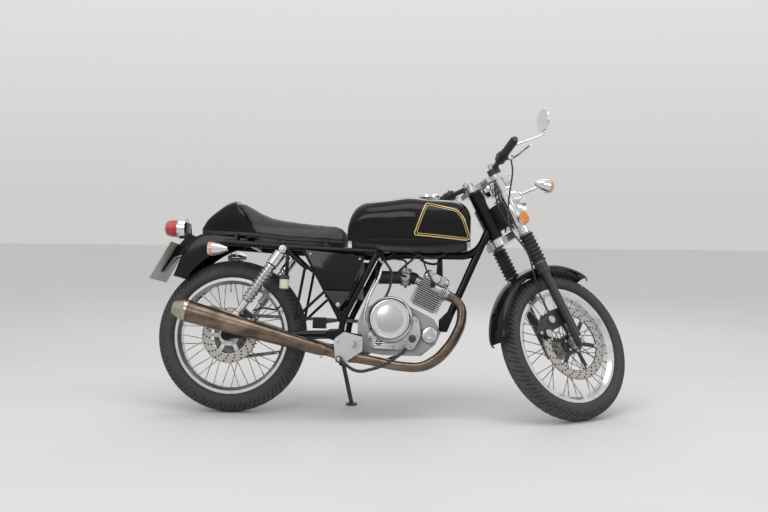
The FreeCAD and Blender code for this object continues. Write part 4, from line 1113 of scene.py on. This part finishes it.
# Mirror glass on the rear side of its shell
mirror_back = Vector((1, -0.15, 0)).normalized()
mirror_centre = Vector((1109, -360, 1119))
build("mirror_glass", "steering", mirror_finish(), "chrome", 50,
      (lathe, [(0.2, 43.6), (-0.4, 43.4), (-0.9, 30), (-1.2, 0)], mirror_centre, mirror_back, 56))
build("mirror_rim", "steering", trim_chrome, "chrome", 35,
      (lathe, [(-1.2, 44.2), (-1.4, 46.6), (0.6, 47.6), (2.4, 47.6), (2.6, 46.8)], mirror_centre,
       mirror_back, 56),
      (lathe, [(8, 11), (9, 12), (15, 11.5), (19, 8), (19.5, 0)], mirror_centre + mirror_back * 8,
       mirror_back, 24))

# Engine fastenings and plugs
small_cover, generator = Vector((835, 0, 334)), Vector((700, 0, 370))
build("engine_bolts", "chassis", bolt_steel, "steel", 35, *[
    (socket, (ahead, COVER_FACE - 28, up), -LEFT, 5.2, 5.0) for ahead, up in
    ((590, 322), (606, 284), (690, 280), (762, 281), (789, 332), (783, 392))], *[
    (hexagon, polar(small_cover, 25, turn, COVER_FACE - 34), -LEFT, 5.2, 5.2)
    for turn in (75, 195, 315)], *[
    (hexagon, polar(generator, 76, turn, 130), LEFT, 4.6, 4.8)
    for turn in (20, 70, 130, 200, 250, 310)])
clutch = Vector((675, COVER_FACE, 394))
build("clutch_cover_rings", "chassis", bright, "polished_alloy", 40, *[
    (lathe, profile, clutch, -LEFT, 72) for profile in (
        [(43.8, 92.3), (44.6, 92.2), (48.5, 89.0), (50.5, 85.6), (61.0, 79.3)],
        [(61.8, 79.0), (63.6, 78.2), (64.6, 75.8), (64.4, 73.2), (62.6, 71.6), (61.9, 70.8)],
        [(61.8, 57.0), (63.0, 56.4), (63.2, 55.0), (61.9, 54.2)])])
build("oil_plug", "chassis", satin_black("dark_bolt", 0.03, 0.35, 0.1), "satin_black", 35,
      (lathe, [(27.8, 15), (33, 15), (35, 13.5), (37, 13.5), (38, 12), (38, 5), (36, 4.5),
               (36, 0)], (766, COVER_FACE, 318), -LEFT, 28),
      (lathe, [(27.8, 13), (30, 13), (30.6, 12), (30.6, 9.8), (29.6, 9.4), (29.6, 0)],
       (630, COVER_FACE, 300), -LEFT, 28))

# Fork, yoke and caliper fastenings
build("fork_bolts", "steering", bolt_steel, "steel", 35, *[part for side in SIDES for part in (
    *[(socket, fork_point(along, side * LEG, -25.8), -fork_ahead, 4.4, 5.0)
      for along in (493.0, 505.6, 747.0)],
    (lathe, [(0, 15.4), (2.5, 15.4), (4.5, 13.6), (4.5, 8), (3.2, 7.4), (3.2, 0)],
     fork_point(800, side * LEG), stem, 28),
    (hexagon, fork_point(803.0, side * LEG), stem, 6.4, 6.6))])
build("gaiter_clips", "steering", bolt_steel, "steel", 60, *[
    (sweep, circle(fork_point(along, side * LEG), LEFT, fork_ahead, 26.0, 40), 1.4, 8, True)
    for side in SIDES for along in (350.5, 479.5)])


def caliper_fastenings(centre, bearing, pin, cap, bolt, head, spread):
    """A plug and a bolt on each half of a caliper: reach from the axle, and how far out."""
    rise, away = tilted(bearing)
    middle = centre + LEFT * DISC_MIDDLE
    (pin_reach, pin_out), (bolt_reach, bolt_out) = pin, bolt
    return [part for up in (-spread, spread) for part in (
        (lathe, cap, middle + away * pin_reach + rise * up - LEFT * pin_out, -LEFT,
         28 if spread > 30 else 24),
        (hexagon, middle + away * bolt_reach + rise * (up * 1.5) - LEFT * bolt_out, -LEFT, *head))]


build("front_caliper_bolts", "steering", bolt_steel, "steel", 35, *caliper_fastenings(
    front_centre, 161, (137, 27.4), [(0, 15.5), (1.5, 15.5), (2.2, 14.5), (2.2, 9), (1.2, 8.4),
                                     (1.2, 0)], (171, 25.4), (5.2, 5.4), 32))
build("chassis_bolts", "chassis", bolt_steel, "steel", 35, *caliper_fastenings(
    rear_centre, 48, (102, 30.4), [(0, 11), (1.2, 11), (1.8, 10), (1.8, 5.5), (1.0, 5), (1.0, 0)],
    (117, 22.0), (4.6, 4.8), 21.8), *[
    (hexagon, (x, side * y, z), LEFT * side, size, height) for side in SIDES
    for x, y, z, size, height in (
        (229, 150.0, 671, 9.0, 8.0), (44, 150.0, 397, 9.0, 8.0), (474, 192.0, 300, 6.2, 6.4),
        (561, 192.0, 306, 4.6, 5.0), (482, 214.0, 230 + 2 * side, 6.0, 5.6))])

# Number plate rim and caps
plate_up, plate_in = tilted(-PLATE_TILT)


def plate_point(across, up, out):
    """A point on the tilted plate: across, up along it, and out of its rear face."""
    return Vector((-338, 0, 545)) + plate_up * up - plate_in * out + LEFT * across


border = rounded_path([(-111.5, 3), (111.5, 3), (111.5, 175), (-111.5, 175)], 8, 12)
build("plate_rim", "chassis", plain("plate_rim_plastic", (0.30, 0.29, 0.26), 0.4), "plate", 60,
      (sweep, [plate_point(p.x, p.y, 0.1) for p in border], 0.7, 6, True),
      *[(lathe, [(0, 5.4), (1.4, 5.2), (2.4, 3.8), (2.6, 0)], plate_point(across, 120, 0.0),
         -plate_in, 20) for across in (-62, 62)])

# Grips: rings of ribs, and the switchgear's buttons
ribs, buttons, levers = [], [], []
for side in SIDES:
    clamp, end, run = bar(side)
    ahead = UP.cross(run) * -side
    ribs += [(lathe, [(-1.5, 15.9), (-1.1, 16.9), (1.1, 16.9), (1.5, 15.9)],
              end - run * (117 - number * 5.2), run, 36) for number in range(19)]
    inner = end - run * 172
    for along_bar, turn_up, size in ((12, 60, 4.2), (24, 20, 3.6), (26, 100, 3.2)):
        angle = math.radians(turn_up)
        buttons.append((lathe, [(21, size * 1.5), (23.2, size * 1.4), (23.8, size),
                                (26, size * 0.9), (26.6, size * 0.6), (26.6, 0)],
                        inner + run * along_bar, UP * math.sin(angle) - ahead * math.cos(angle), 20))
    pivot = inner + ahead * 46 + run * 20
    levers += [(hexagon, pivot + UP * 8.6, UP, 5.0, 5.0),
               (lathe, [(8.2, 10.6), (8.8, 10.8), (9.4, 10.2), (9.4, 0)], pivot - UP * 0.2, UP, 24)]
build("grip_ribs", "steering", trim_rubber, "rubber", 50, *ribs)
build("switch_buttons", "steering", plain("switch_grey", (0.10, 0.10, 0.10), 0.45,
                                          (0.05, 0.05, 0.05)), "satin_black", 35, *buttons)
build("lever_bolts", "steering", bolt_steel, "steel", 35, *levers)

# Silencer seams, clamp bolts, and the head's nuts
bore, bore_ahead = tilted(-CYLINDER_LEAN)
head_base = Vector((797, 0, 446)) + bore * (BARREL_FINS * FIN_PITCH)
head_top = head_base + bore * (HEAD_FINS * FIN_PITCH)
seams, nuts = [], []
for side in SIDES:
    front, rear = Vector((420, side * 166, 261)), Vector((-200, side * 198, 422))
    x, y, run = basis(rear - front)
    nuts.append((hexagon, front + run * 16 - UP * 27, -UP, 5.0, 6.0))
    seams.append((sweep, circle(rear - run, x, y, 23.0, 48), 1.1, 8, True))
build("silencer_seams", "chassis", bright, "exhaust_steel", 60, *seams)
build("exhaust_and_head_nuts", "chassis", bolt_steel, "steel", 35, *nuts, *[
    (hexagon, head_top + bore * 32 + bore_ahead * ahead + LEFT * (side * 40), bore, 4.8, 5.4)
    for side in SIDES for ahead in (-34, 34)], *[
    (socket, head_top + bore * 32 + bore_ahead * ahead + LEFT * across, bore, 3.4, 3.6)
    for across in (-27, 27) for ahead in (-22, 22)])


# Seat tail: a smooth cowl over the hump
def tail_section(low_ahead, high_ahead, half, low, high, crown):
    shoulder, bend = low + (high - low) * 0.55, high - (high - low) * 0.13
    return smooth_line([
        Vector((low_ahead + (high_ahead - low_ahead) * (up - low) / (high - low), across, up))
        for across, up in ((-half * 0.92, low), (-half, shoulder), (-half * crown, bend), (0, high),
                           (half * crown, bend), (half, shoulder), (half * 0.92, low))], 6)


build("tail_cowl", "chassis", tank_paint, "black_paint", 50, (skin, finer_rows([
    tail_section(*station) for station in (
        (105.2, 20.2, 113, 740, 872, 0.86), (70, 7, 112, 742, 885.5, 0.85),
        (20, -20, 106, 744.5, 879, 0.84), (-40, -54, 95, 747.5, 858, 0.83),
        (-100, -110, 74, 750, 810.5, 0.82), (-138, -136, 48, 752, 770, 0.8))], 7)),
    instead_of="seat_hump")


# Rear mudguard: a folded sheet with a rolled edge, and the bracket of lamp and plate
def side_line(*points):
    return smooth_line([(x, 0, z) for x, z in points], 6)


rows = []
for high, low in zip(
        side_line((60, 735), (-40, 741), (-112, 742.5), (-156, 730), (-190, 696), (-220, 641),
                  (-250, 561)),
        side_line((60, 710), (5, 694), (-49, 673), (-97, 644), (-141, 608), (-168, 580),
                  (-186, 553))):
    reach, down = (low - high).length, (low - high).normalized()
    half = [(across, min(drop, reach)) for across, drop in (
        (77.6, reach), (77.6, reach * 0.66 + 6), (77.6, 19), (76.6, 12), (73.6, 6.5), (68, 2.6),
        (58, 1.0), (30, 0.2))]
    rows.append([high + down * drop - LEFT * across for across, drop in half] + [high]
                + [high + down * drop + LEFT * across for across, drop in reversed(half)])
build("rear_guard_sheet", "chassis", gloss_black("rear_guard_paint", 0.08), "black_paint", 40,
      (skin, rows, False, 0), (thicken, 2.4),
      (sweep, [row[0] + LEFT * 0.6 for row in rows], 2.2, 8),
      (sweep, [row[-1] - LEFT * 0.6 for row in rows], 2.2, 8), (sweep, rows[-1], 2.0, 8),
      (plate, [(-314.5, 580), (-254.5, 687), (-218.5, 719), (-218.5, 791), (-207.5, 791),
               (-205, 743), (-166, 731), (-196, 690), (-216, 655), (-262, 645), (-309.5, 577)],
       -25, 25, 3),
      (plate, [(40, 735.5), (64, 733), (96, 708), (96, 693), (76, 700), (70, 712), (40, 731)],
       -30, 30, 2), instead_of="rear_mudguard")

# Front mudguard: a round sheet with a rolled edge on two brackets
FIRST, LAST = 66.4, 185.6
rows = []
for number in range(61):
    degrees = FIRST + (LAST - FIRST) * number / 60
    end = min(degrees - FIRST, LAST - degrees)
    width = 61 * (1 if end > 9 else 0.70 + 0.30 * math.sqrt(max(1 - (1 - end / 9) ** 2, 0)))
    rows.append([polar(front_centre, 322.5 + 30.5 * math.cos(turn), degrees,
                       width * math.sin(turn))
                 for turn in (math.radians(share * 90 / 8) for share in range(-8, 9))])
build("front_guard_sheet", "steering", gloss_black("front_guard_paint", 0.08), "black_paint", 40,
      (skin, rows, False, 0), (thicken, 2.4),
      *[(sweep, line, 2.0, 8) for line in ([row[0] for row in rows], [row[-1] for row in rows],
                                           rows[0], rows[-1])],
      *[(side_plate, [(1224, 598), (1232, 611), (1256, 617), (1284, 632), (1292, 618),
                      (1262, 592), (1232, 584)], side, 56, 76.5, 2) for side in SIDES],
      instead_of="front_mudguard")


# Side covers with a ribbed plastic cover below each
def cover_ribs(bm, side):
    for number in range(6):
        level, middle, reach = 494 - number * 9.5, 461.5 + number * 0.6, 42 - number * 6.6
        side_plate(bm, [(middle - reach, level - 3.6), (middle + reach, level - 3.6),
                        (middle + reach, level), (middle - reach, level)], side, 143, 147.5, 0.8)


build("side_covers", "chassis", panel_paint, "black_paint", 40, *[
    part for side in SIDES for part in (
        (side_plate, rounded([(318, 668), (570, 645), (514, 508), (403, 508)], 14), side, 136.2,
         150, 4, 3),
        (side_plate, rounded([(405, 504.6), (514, 499), (466, 428)], 7), side, 136.2, 145, 1.5),
        (cover_ribs, side))], instead_of="side_panels")
build("side_cover_screws", "chassis", bolt_steel, "steel", 35, *[
    part for side in SIDES for part in (
        (lathe, [(144.6, 8.5), (147.5, 8.5), (148.6, 7), (148.6, 3), (147.4, 2.6), (147.4, 0)],
         (463, 0, 447), LEFT * side, 20),
        *[(socket, (ahead, side * 149.8, up), LEFT * side, 4.4, 3.0)
          for ahead, up in ((345, 652), (548, 634))])])

# Engine covers, turned and cast
build("cast_covers", "chassis", cover_alloy, "polished_alloy", 38,
      (lathe, [(0, 92), (34, 92), (38, 91), (44, 87), (48, 80.5), (54, 79.5), (58.5, 77.5),
               (60, 74), (60, 59), (61, 57.5), (61.8, 55), (61.8, 0)], (675, -CASE_SIDE, 394),
       -LEFT, 96),
      (plate, rounded([(580, 330), (600, 275), (770, 272), (800, 330), (790, 400), (700, 440)],
                      14), -111.8, -CASE_SIDE, 4, 3),
      *[(plate, [(614 - n * 3, 279 + n * 9), (764 + n * 4, 279 + n * 9),
                 (764 + n * 4, 282.4 + n * 9), (614 - n * 3, 282.4 + n * 9)], -114.5, -108, 1.0)
        for n in range(4)],
      (lathe, [(0, 33), (28, 33), (32, 30.5), (33.6, 27), (33.6, 12), (32, 10), (32, 0)],
       (835, -CASE_SIDE, 334), -LEFT, 48),
      (lathe, [(0, 85), (30, 85), (37, 82), (42, 75), (45, 62), (45.6, 30), (45.6, 0)],
       (700, CASE_SIDE, 370), LEFT, 96),
      (plate, rounded([(556, 300), (650, 290), (650, 430), (556, 420)], 12), CASE_SIDE, 111.8,
       4, 3), instead_of="engine_covers")

# Carburettor, its rubber boots and the hoses above the engine
intake_start = head_base + bore * 28 - bore_ahead * 78
intake_bend = intake_start - bore_ahead * 16
carb = intake_bend - AHEAD * 28
bellows = carb.x - 600
build("intake_boots", "chassis", trim_rubber, "rubber", 50,
      (pipe, [intake_start + bore_ahead * 2, intake_start - bore_ahead * 10, intake_bend, carb],
       5, 23.4, 28),
      *[(lathe, [(-2, 23.5), (-1.2, 25.6), (1.2, 25.6), (2, 23.5)],
         intake_start - bore_ahead * (3 + number * 7), -bore_ahead, 32) for number in range(3)],
      (lathe, [(10, 25), (16, 27.6), (24, 27.6), (30, 25.5), (36, 27.6), (42, 25.5), (48, 27.6),
               (54, 25.5), (60, 27.6), (bellows, 27.6), (bellows, 0)], carb, -AHEAD, 36),
      instead_of="intake")
build("carburettor_body", "chassis", alloy("carburettor_alloy", 0.42, 0.4, 0.8, 0.5),
      "cast_alloy", 40,
      (lathe, [(-34, 12), (-33, 20), (-20, 25.5), (-6, 26.6), (16, 26.6), (18, 29), (26, 29),
               (28, 26), (36, 24), (39.6, 14), (40, 0)], carb, UP, 36),
      (lathe, [(-44, 0), (-44, 5), (-36, 6.2), (-34, 6.2)], carb, UP, 6),
      (lathe, [(0, 20), (31, 20), (34, 17), (36, 8), (36, 0)], carb, -LEFT, 28),
      *[(socket, carb + Vector((25 * math.cos(turn), 25 * math.sin(turn), 26)), UP, 2.6, 3.0)
        for turn in (number * math.pi / 2 + 0.78 for number in range(4))])
build("breather_hoses", "chassis", trim_rubber, "rubber", 60, *[
    (pipe, points, 10, radius, 12) for radius, points in (
        (4.2, [carb + UP * 38, carb + Vector((-4, -6, 70)), (660, -30, 655), (700, -30, 690)]),
        (4.6, [carb + Vector((10, -28, 0)), (700, -64, 590), (752, -66, 640), (800, -40, 690)]),
        (5.2, [(620, -44, 690), (640, -62, 640), (672, -70, 585), (664, -76, 520),
               (640, -74, 470)]),
        (5.0, [(742, -36, 690), (776, -58, 664), (836, -62, 650), (884, -48, 668),
               (900, -30, 692)]),
        (5.0, [(760, 30, 690), (790, 50, 650), (850, 56, 640), (890, 40, 690)]))])

# Head details: tappet covers, flanges of both header pipes, and the plug with its lead
tappet = head_top + bore * 14
build("head_fittings", "chassis", alloy("head_fitting_alloy", 0.62, 0.26, 0.5, 0.3),
      "cast_alloy", 40, *[part for sign in SIDES for part in (
          (lathe, [(36, 24), (46, 24), (49.5, 21.5), (50, 0)], tappet, bore_ahead * sign, 36),
          (lathe, [(50, 13), (55, 13), (56.4, 11.6), (56.4, 0)], tappet, bore_ahead * sign, 6),
          (lathe, [(38, 21), (50, 21), (54, 18), (54, 0)], tappet, LEFT * sign, 36),
          *[(lathe, [(start, 22.2), (start + 0.6, 29), (start + 3, 29), (start + 3.6, 22.2)],
             head_base + bore * 26 + LEFT * (sign * 38), bore_ahead, 36)
            for start in (40, 47, 54, 61)])])
plug = head_base + bore * 30 - LEFT * 42
lead = plug - LEFT * 50 + bore * 14
build("plug_cap_and_lead", "chassis", trim_rubber, "rubber", 50,
      (lathe, [(0, 9), (14, 9), (16, 11), (24, 11), (40, 9.5), (46, 7), (46, 0)], plug,
       lead - plug, 20),
      (pipe, [plug + (lead - plug) * 0.85, lead, lead + Vector((-24, 6, 40)), (800, -60, 640),
              (780, -30, 690)], 8, 3.6, 10))

# Alloy pipe in front of the rear down tube, and the small finned box behind it
build("breather_pipe", "chassis", bright, "polished_alloy", 50,
      (pipe, [(628, -66, 600), (618, -70, 562), (588, -78, 500), (570, -80, 440),
              (565, -80, 392), (578, -78, 360)], 8, 6.5, 16),
      *[(lathe, [(-5, 6.6), (-4.5, 8.6), (4.5, 8.6), (5, 6.6)], spot, way, 20)
        for spot, way in (((565, -80, 400), UP), ((612, -71.5, 548), (0.3, 0, 1)))])
build("finned_regulator", "chassis", satin_black("regulator_paint", 0.02, 0.45, 0.25),
      "satin_black", 40,
      (plate, [(352, 352), (408, 352), (408, 398), (352, 398)], -86, -66, 2.5),
      *[(plate, [(ahead, 354), (ahead + 2.6, 354), (ahead + 2.6, 396), (ahead, 396)], -97, -84,
         0.6) for ahead in (356 + number * 7.6 for number in range(7))],
      (plate, [(400, 372), (476, 384), (478, 396), (400, 388)], -80, -74, 1.5))

# Frame: loops and gussets on each side, a strap, the engine steadies, tank skirt and seat pan
top = head_top
build("frame_brackets", "chassis", frame_paint, "black_paint", 50, *[
    part for side in SIDES for part in (
        (pipe, [(x, side * 108, z) for x, z in ((238, 670), (280, 632), (318, 602), (366, 590))],
         6, 8, 14),
        (pipe, [(x, side * 113, z) for x, z in ((318, 600), (302, 500), (286, 402), (292, 396),
                                                (350, 452), (411, 510))], 6, 6, 12),
        (side_plate, rounded([(414, 318), (414, 342), (432, 350), (480, 352), (486, 292),
                              (430, 308)], 6), side, 112, 121),
        (side_plate, [(462, 300), (470, 345), (556, 330), (556, 270), (540, 262)], side,
         CASE_SIDE + 0.1, 104))],
    (plate, [(237, 684), (252, 684), (252, 524), (237, 524)], -121, -117, 1), *[
    (plate, points, low, low + 7, 1.2) for low in (-16, 9) for points in (
        [(top.x + 4, top.z + 20), (top.x + 32, top.z + 20), (top.x + 27, 672), (top.x + 9, 672)],
        [(866, 352), (900, 350), (928, 420), (906, 440), (866, 400)])])


def stations(section, rows):
    """Rows of points from a section given as shares of the half width and heights."""
    return finer_rows([[Vector((ahead, share * half, up)) for share, up in section(low, high)]
                       for ahead, half, low, high in rows], 4)


build("tank_skirt", "chassis", satin_black("tank_skirt_paint", 0.010, 0.3, 0.05), "black_paint",
      40, (skin, stations(
          lambda low, high: ((-1, high), (-1, low + 5), (-0.95, low), (-0.55, low),
                             (-0.42, low + 4), (0.42, low + 4), (0.55, low), (0.95, low),
                             (1, low + 5), (1, high)),
          ((502, 62, 686, 722), (520, 74, 680, 720), (600, 84, 676, 714), (740, 92, 674, 712),
           (880, 92, 674, 712), (950, 78, 680, 720), (978, 60, 690, 724)))))
build("seat_pan", "chassis", satin_black("seat_pan_plastic", 0.012, 0.5, 0.1), "black_plastic",
      40, (skin, stations(
          lambda low, high: ((-1, high), (-1, low + 4), (-0.96, low), (0.96, low), (1, low + 4),
                             (1, high)),
          ((-136, 50, 740, 755), (-100, 70, 737, 752), (-60, 84, 733.5, 748.5),
           (20, 98, 729, 744), (107, 104, 724.5, 739.5), (236, 106, 709.5, 724.5),
           (350, 102, 705.5, 720.5), (466, 84, 701.5, 716.5)))),
      *[(lathe, [(0, 9), (reach - 3, 9), (reach, 13), (reach + 4, 13)], (ahead, side * 98, foot),
         UP, 16) for ahead, foot, reach in ((400, 686, 22), (200, 692, 24), (20, 706, 26))
        for side in SIDES])


# Brakes: opened calipers on their brackets
def caliper_body(bm, centre, radius, bearing, size):
    """Two eased halves and a bridge round the disc, with two piston caps."""
    rise, away = tilted(bearing)
    inward, outward = 37, 12
    place = Matrix.Translation(centre + LEFT * DISC_MIDDLE + away * radius) @ Matrix(
        (away, LEFT, rise)).transposed().to_4x4()
    eased_box(bm, place, (-inward, -22, -size / 2), (outward, -4.4, size / 2), 4)
    eased_box(bm, place, (-inward, 4.4, -size / 2), (outward, 20, size / 2), 4)
    eased_box(bm, place, (4, -19, -size * 0.42), (outward - 1, 17, size * 0.42), 3)
    for share in (-0.25, 0.25):
        lathe(bm, [(0, size * 0.17), (4.5, size * 0.17), (6.5, size * 0.15), (6.5, size * 0.08),
                   (5, size * 0.07), (5, 0)], place @ Vector((-inward * 0.42, -21, share * size)),
              -LEFT, 32)


build("front_caliper_body", "steering", satin_black("front_caliper_black", 0.014, 0.34, 0.12),
      "satin_black", 40, (caliper_body, front_centre, FRONT_DISC, 160, 98),
      (plate, rounded([(1352, 380), (1330, 446), (1262, 420), (1240, 372), (1262, 330)], 10),
       -77.5, -66.0, 2), instead_of="front_caliper")
build("rear_caliper_body", "chassis", rear_brake_paint, "satin_black", 40,
      (caliper_body, rear_centre, REAR_DISC, 48, 78),
      (plate, rounded([(-18, 304), (20, 300), (70, 372), (96, 402), (60, 428), (4, 340)], 8),
       -90, -81.8, 2),
      (lathe, [(0, 15), (3, 18.6), (38, 19), (39, 21), (52, 21), (53, 20), (53, 0)],
       (241, -150, 507), UP, 36),
      (plate, [(228, 540), (254, 540), (254, 552), (228, 552)], -134, -118, 1),
      (pipe, [(241, -150, 508), (238, -146, 470), (226, -128, 440), (200, -112, 424),
              (150, -98, 430), (104, -92, 420)], 8, 4.0, 12), instead_of="rear_brake")

# Brake hose, cables and the loom, all held on the fork
clamp, end, run = bar(-1)
cylinder_low = end - run * 152 + UP.cross(run) * 40 - UP * 8
rise, away = tilted(160)
port = front_centre + away * 150 - rise * 49 + LEFT * DISC_MIDDLE
cables = [(pipe, [cylinder_low, cylinder_low - UP * 60, (1080, -128, 850), (1078, -124, 740),
                  (1150, -128, 640), (1190, -106, 560), (1232, -74, 500), port - rise * 26,
                  port], 12, 3.4, 12)]
for outward in (0, 9):
    for side in SIDES:
        clamp, end, run = bar(side)
        cables.append((pipe, [
            clamp + run * (60 + outward * 1.2), clamp + run * 30 + UP * 6 + fork_ahead * 20,
            fork_point(735, side * (50 + outward), 20),
            fork_point(660, side * (34 + outward * 2), -4),
            fork_point(560, side * (22 + outward), -12), fork_point(528, side * 12, -18)],
            8, 3.0, 10))
build("hoses_and_cables", "steering", rubber("hose_rubber", 0.012, 0.4, 0.05), "rubber", 60,
      *cables)


def loom_wires(bm):
    for number in range(7):
        start = fork_point(560 + number * 14, dice.uniform(-46, 46), dice.uniform(-14, 14))
        middle = fork_point(610 + dice.uniform(-20, 20), dice.uniform(-30, 30),
                            dice.uniform(6, 20))
        end = fork_point(625 + dice.uniform(-22, 22), dice.uniform(-24, 24), 26)
        pipe(bm, [start, middle, end], 7, 4.0, 10)


build("fork_loom", "steering", trim_rubber, "rubber", 50, (loom_wires,),
      (eased_box, Matrix.Translation(fork_point(590, 0, -8)) @ Matrix(
          (fork_ahead, LEFT, stem)).transposed().to_4x4(), (-16, -54, -44), (20, 54, 60), 8))

# Fork shrouds with the round side reflectors
x, y, z = basis(stem)
reflectors = [(Vector((1150, side * 101, 793.5)), LEFT * side, 40) for side in SIDES]
build("fork_shrouds", "steering", bright, "polished_alloy", 40, *[
    (skin, [circle(fork_point(514.4 + along, side * LEG), x, y, radius, 40)
            for along, radius in ((0, 16), (0, 23.4), (2, 24.2), (60, 24.2), (101, 24.2),
                                  (103, 23.4), (103, 16))], True, 0, True) for side in SIDES], *[
    (lathe, [(0, 9), (14, 9), (15.5, 15), (15.5, 24), (18.4, 26.8), (26, 27.2), (27, 25)],
     *reflector) for reflector in reflectors])
build("fork_reflectors", "steering", amber, "red_lens", 40, *[
    (lathe, [(27.2, 24.6), (28.4, 25.6), (32, 24.8), (34.4, 20), (35.4, 10), (35.6, 0)],
     *reflector) for reflector in reflectors])

# Floor, lamps, background and camera
floor_mesh = bpy.data.meshes.new("floor")
bm = bmesh.new()
bmesh.ops.create_grid(bm, x_segments=24, y_segments=24, size=14.0)
bm.to_mesh(floor_mesh)
bm.free()
f = Finish("pale_floor", (0.66, 0.655, 0.645), 0.7)
f.patches(1.4, 5.0, 0.35, 0.7, 1.0, (0.64, 0.635, 0.625), 0.74)
f.patches(160.0, 3.0, 0.5, 0.8, 0.3, (0.60, 0.595, 0.585), 0.8)
floor_mesh.materials.append(f.grain(90.0, 4.0, 0.0004, 0.15).done(Specular_IOR_Level=0.3))
floor = bpy.data.objects.new("floor", floor_mesh)
scene.collection.objects.link(floor)

world = bpy.data.worlds.new("soft_studio")
scene.world = world
world.use_nodes = True
tree = world.node_tree
background = tree.nodes["Background"]
background.inputs["Color"].default_value = (0.93, 0.94, 0.96, 1)
background.inputs["Strength"].default_value = 0.82
shown, place, split, shade, path, first, second, mix = (
    tree.nodes.new("ShaderNode" + kind) for kind in (
        "Background", "TexCoord", "SeparateXYZ", "ValToRGB", "LightPath", "Math", "Math",
        "MixShader"))
for number, (position, colour) in enumerate(((0.0, (0.62, 0.615, 0.605, 1)),
                                             (0.3, (0.84, 0.835, 0.83, 1)))):
    shade.color_ramp.elements[number].position = position
    shade.color_ramp.elements[number].color = colour
first.operation = second.operation = "MAXIMUM"
for source, target in (
        (place.outputs["Generated"], split.inputs[0]), (split.outputs["Z"], shade.inputs[0]),
        (shade.outputs[0], shown.inputs["Color"]),
        (path.outputs["Is Camera Ray"], first.inputs[0]),
        (path.outputs["Is Glossy Ray"], first.inputs[1]), (first.outputs[0], second.inputs[0]),
        (path.outputs["Is Transmission Ray"], second.inputs[1]),
        (second.outputs[0], mix.inputs[0]), (background.outputs[0], mix.inputs[1]),
        (shown.outputs[0], mix.inputs[2]),
        (mix.outputs[0], tree.nodes["World Output"].inputs["Surface"])):
    tree.links.new(source, target)

for name, spot, aim, size, power in (
        ("overhead_softbox", (0.1, -0.9, 3.4), (0.0, 0.1, 0.5), (3.2, 1.6), 38),
        ("front_softbox", (-1.6, -3.6, 2.6), (0.0, 0.0, 0.5), (1.8, 1.4), 26),
        ("right_softbox", (3.4, -2.4, 2.2), (0.3, 0.0, 0.5), (1.4, 1.6), 18),
        ("rear_softbox", (0.3, 3.4, 2.8), (0.0, 0.0, 0.6), (2.6, 1.4), 20)):
    light = bpy.data.lights.new(name, "AREA")
    light.shape = "RECTANGLE"
    light.size, light.size_y = size
    light.energy = power
    lamp = bpy.data.objects.new(name, light)
    lamp.location = spot
    lamp.rotation_euler = (Vector(aim) - Vector(spot)).to_track_quat("-Z", "Y").to_euler()
    scene.collection.objects.link(lamp)

yaw, pitch, roll = (math.radians(angle) for angle in (-5.601, -3.317, 0.2955))
forward = Vector((math.sin(yaw) * math.cos(pitch), math.cos(yaw) * math.cos(pitch),
                  math.sin(pitch)))
right = Vector((math.cos(yaw), -math.sin(yaw), 0))
above = right.cross(forward)
camera_data = bpy.data.cameras.new("camera")
camera_data.sensor_width = 36.0
camera_data.lens = 46.99
camera = bpy.data.objects.new("camera", camera_data)
camera.matrix_world = Matrix.Translation((0.387683, -4.187548, 0.89525)) @ Matrix((
    right * math.cos(roll) + above * math.sin(roll),
    above * math.cos(roll) - right * math.sin(roll), -forward)).transposed().to_4x4()
scene.collection.objects.link(camera)
scene.camera = camera
scene.view_settings.view_transform = "Standard"
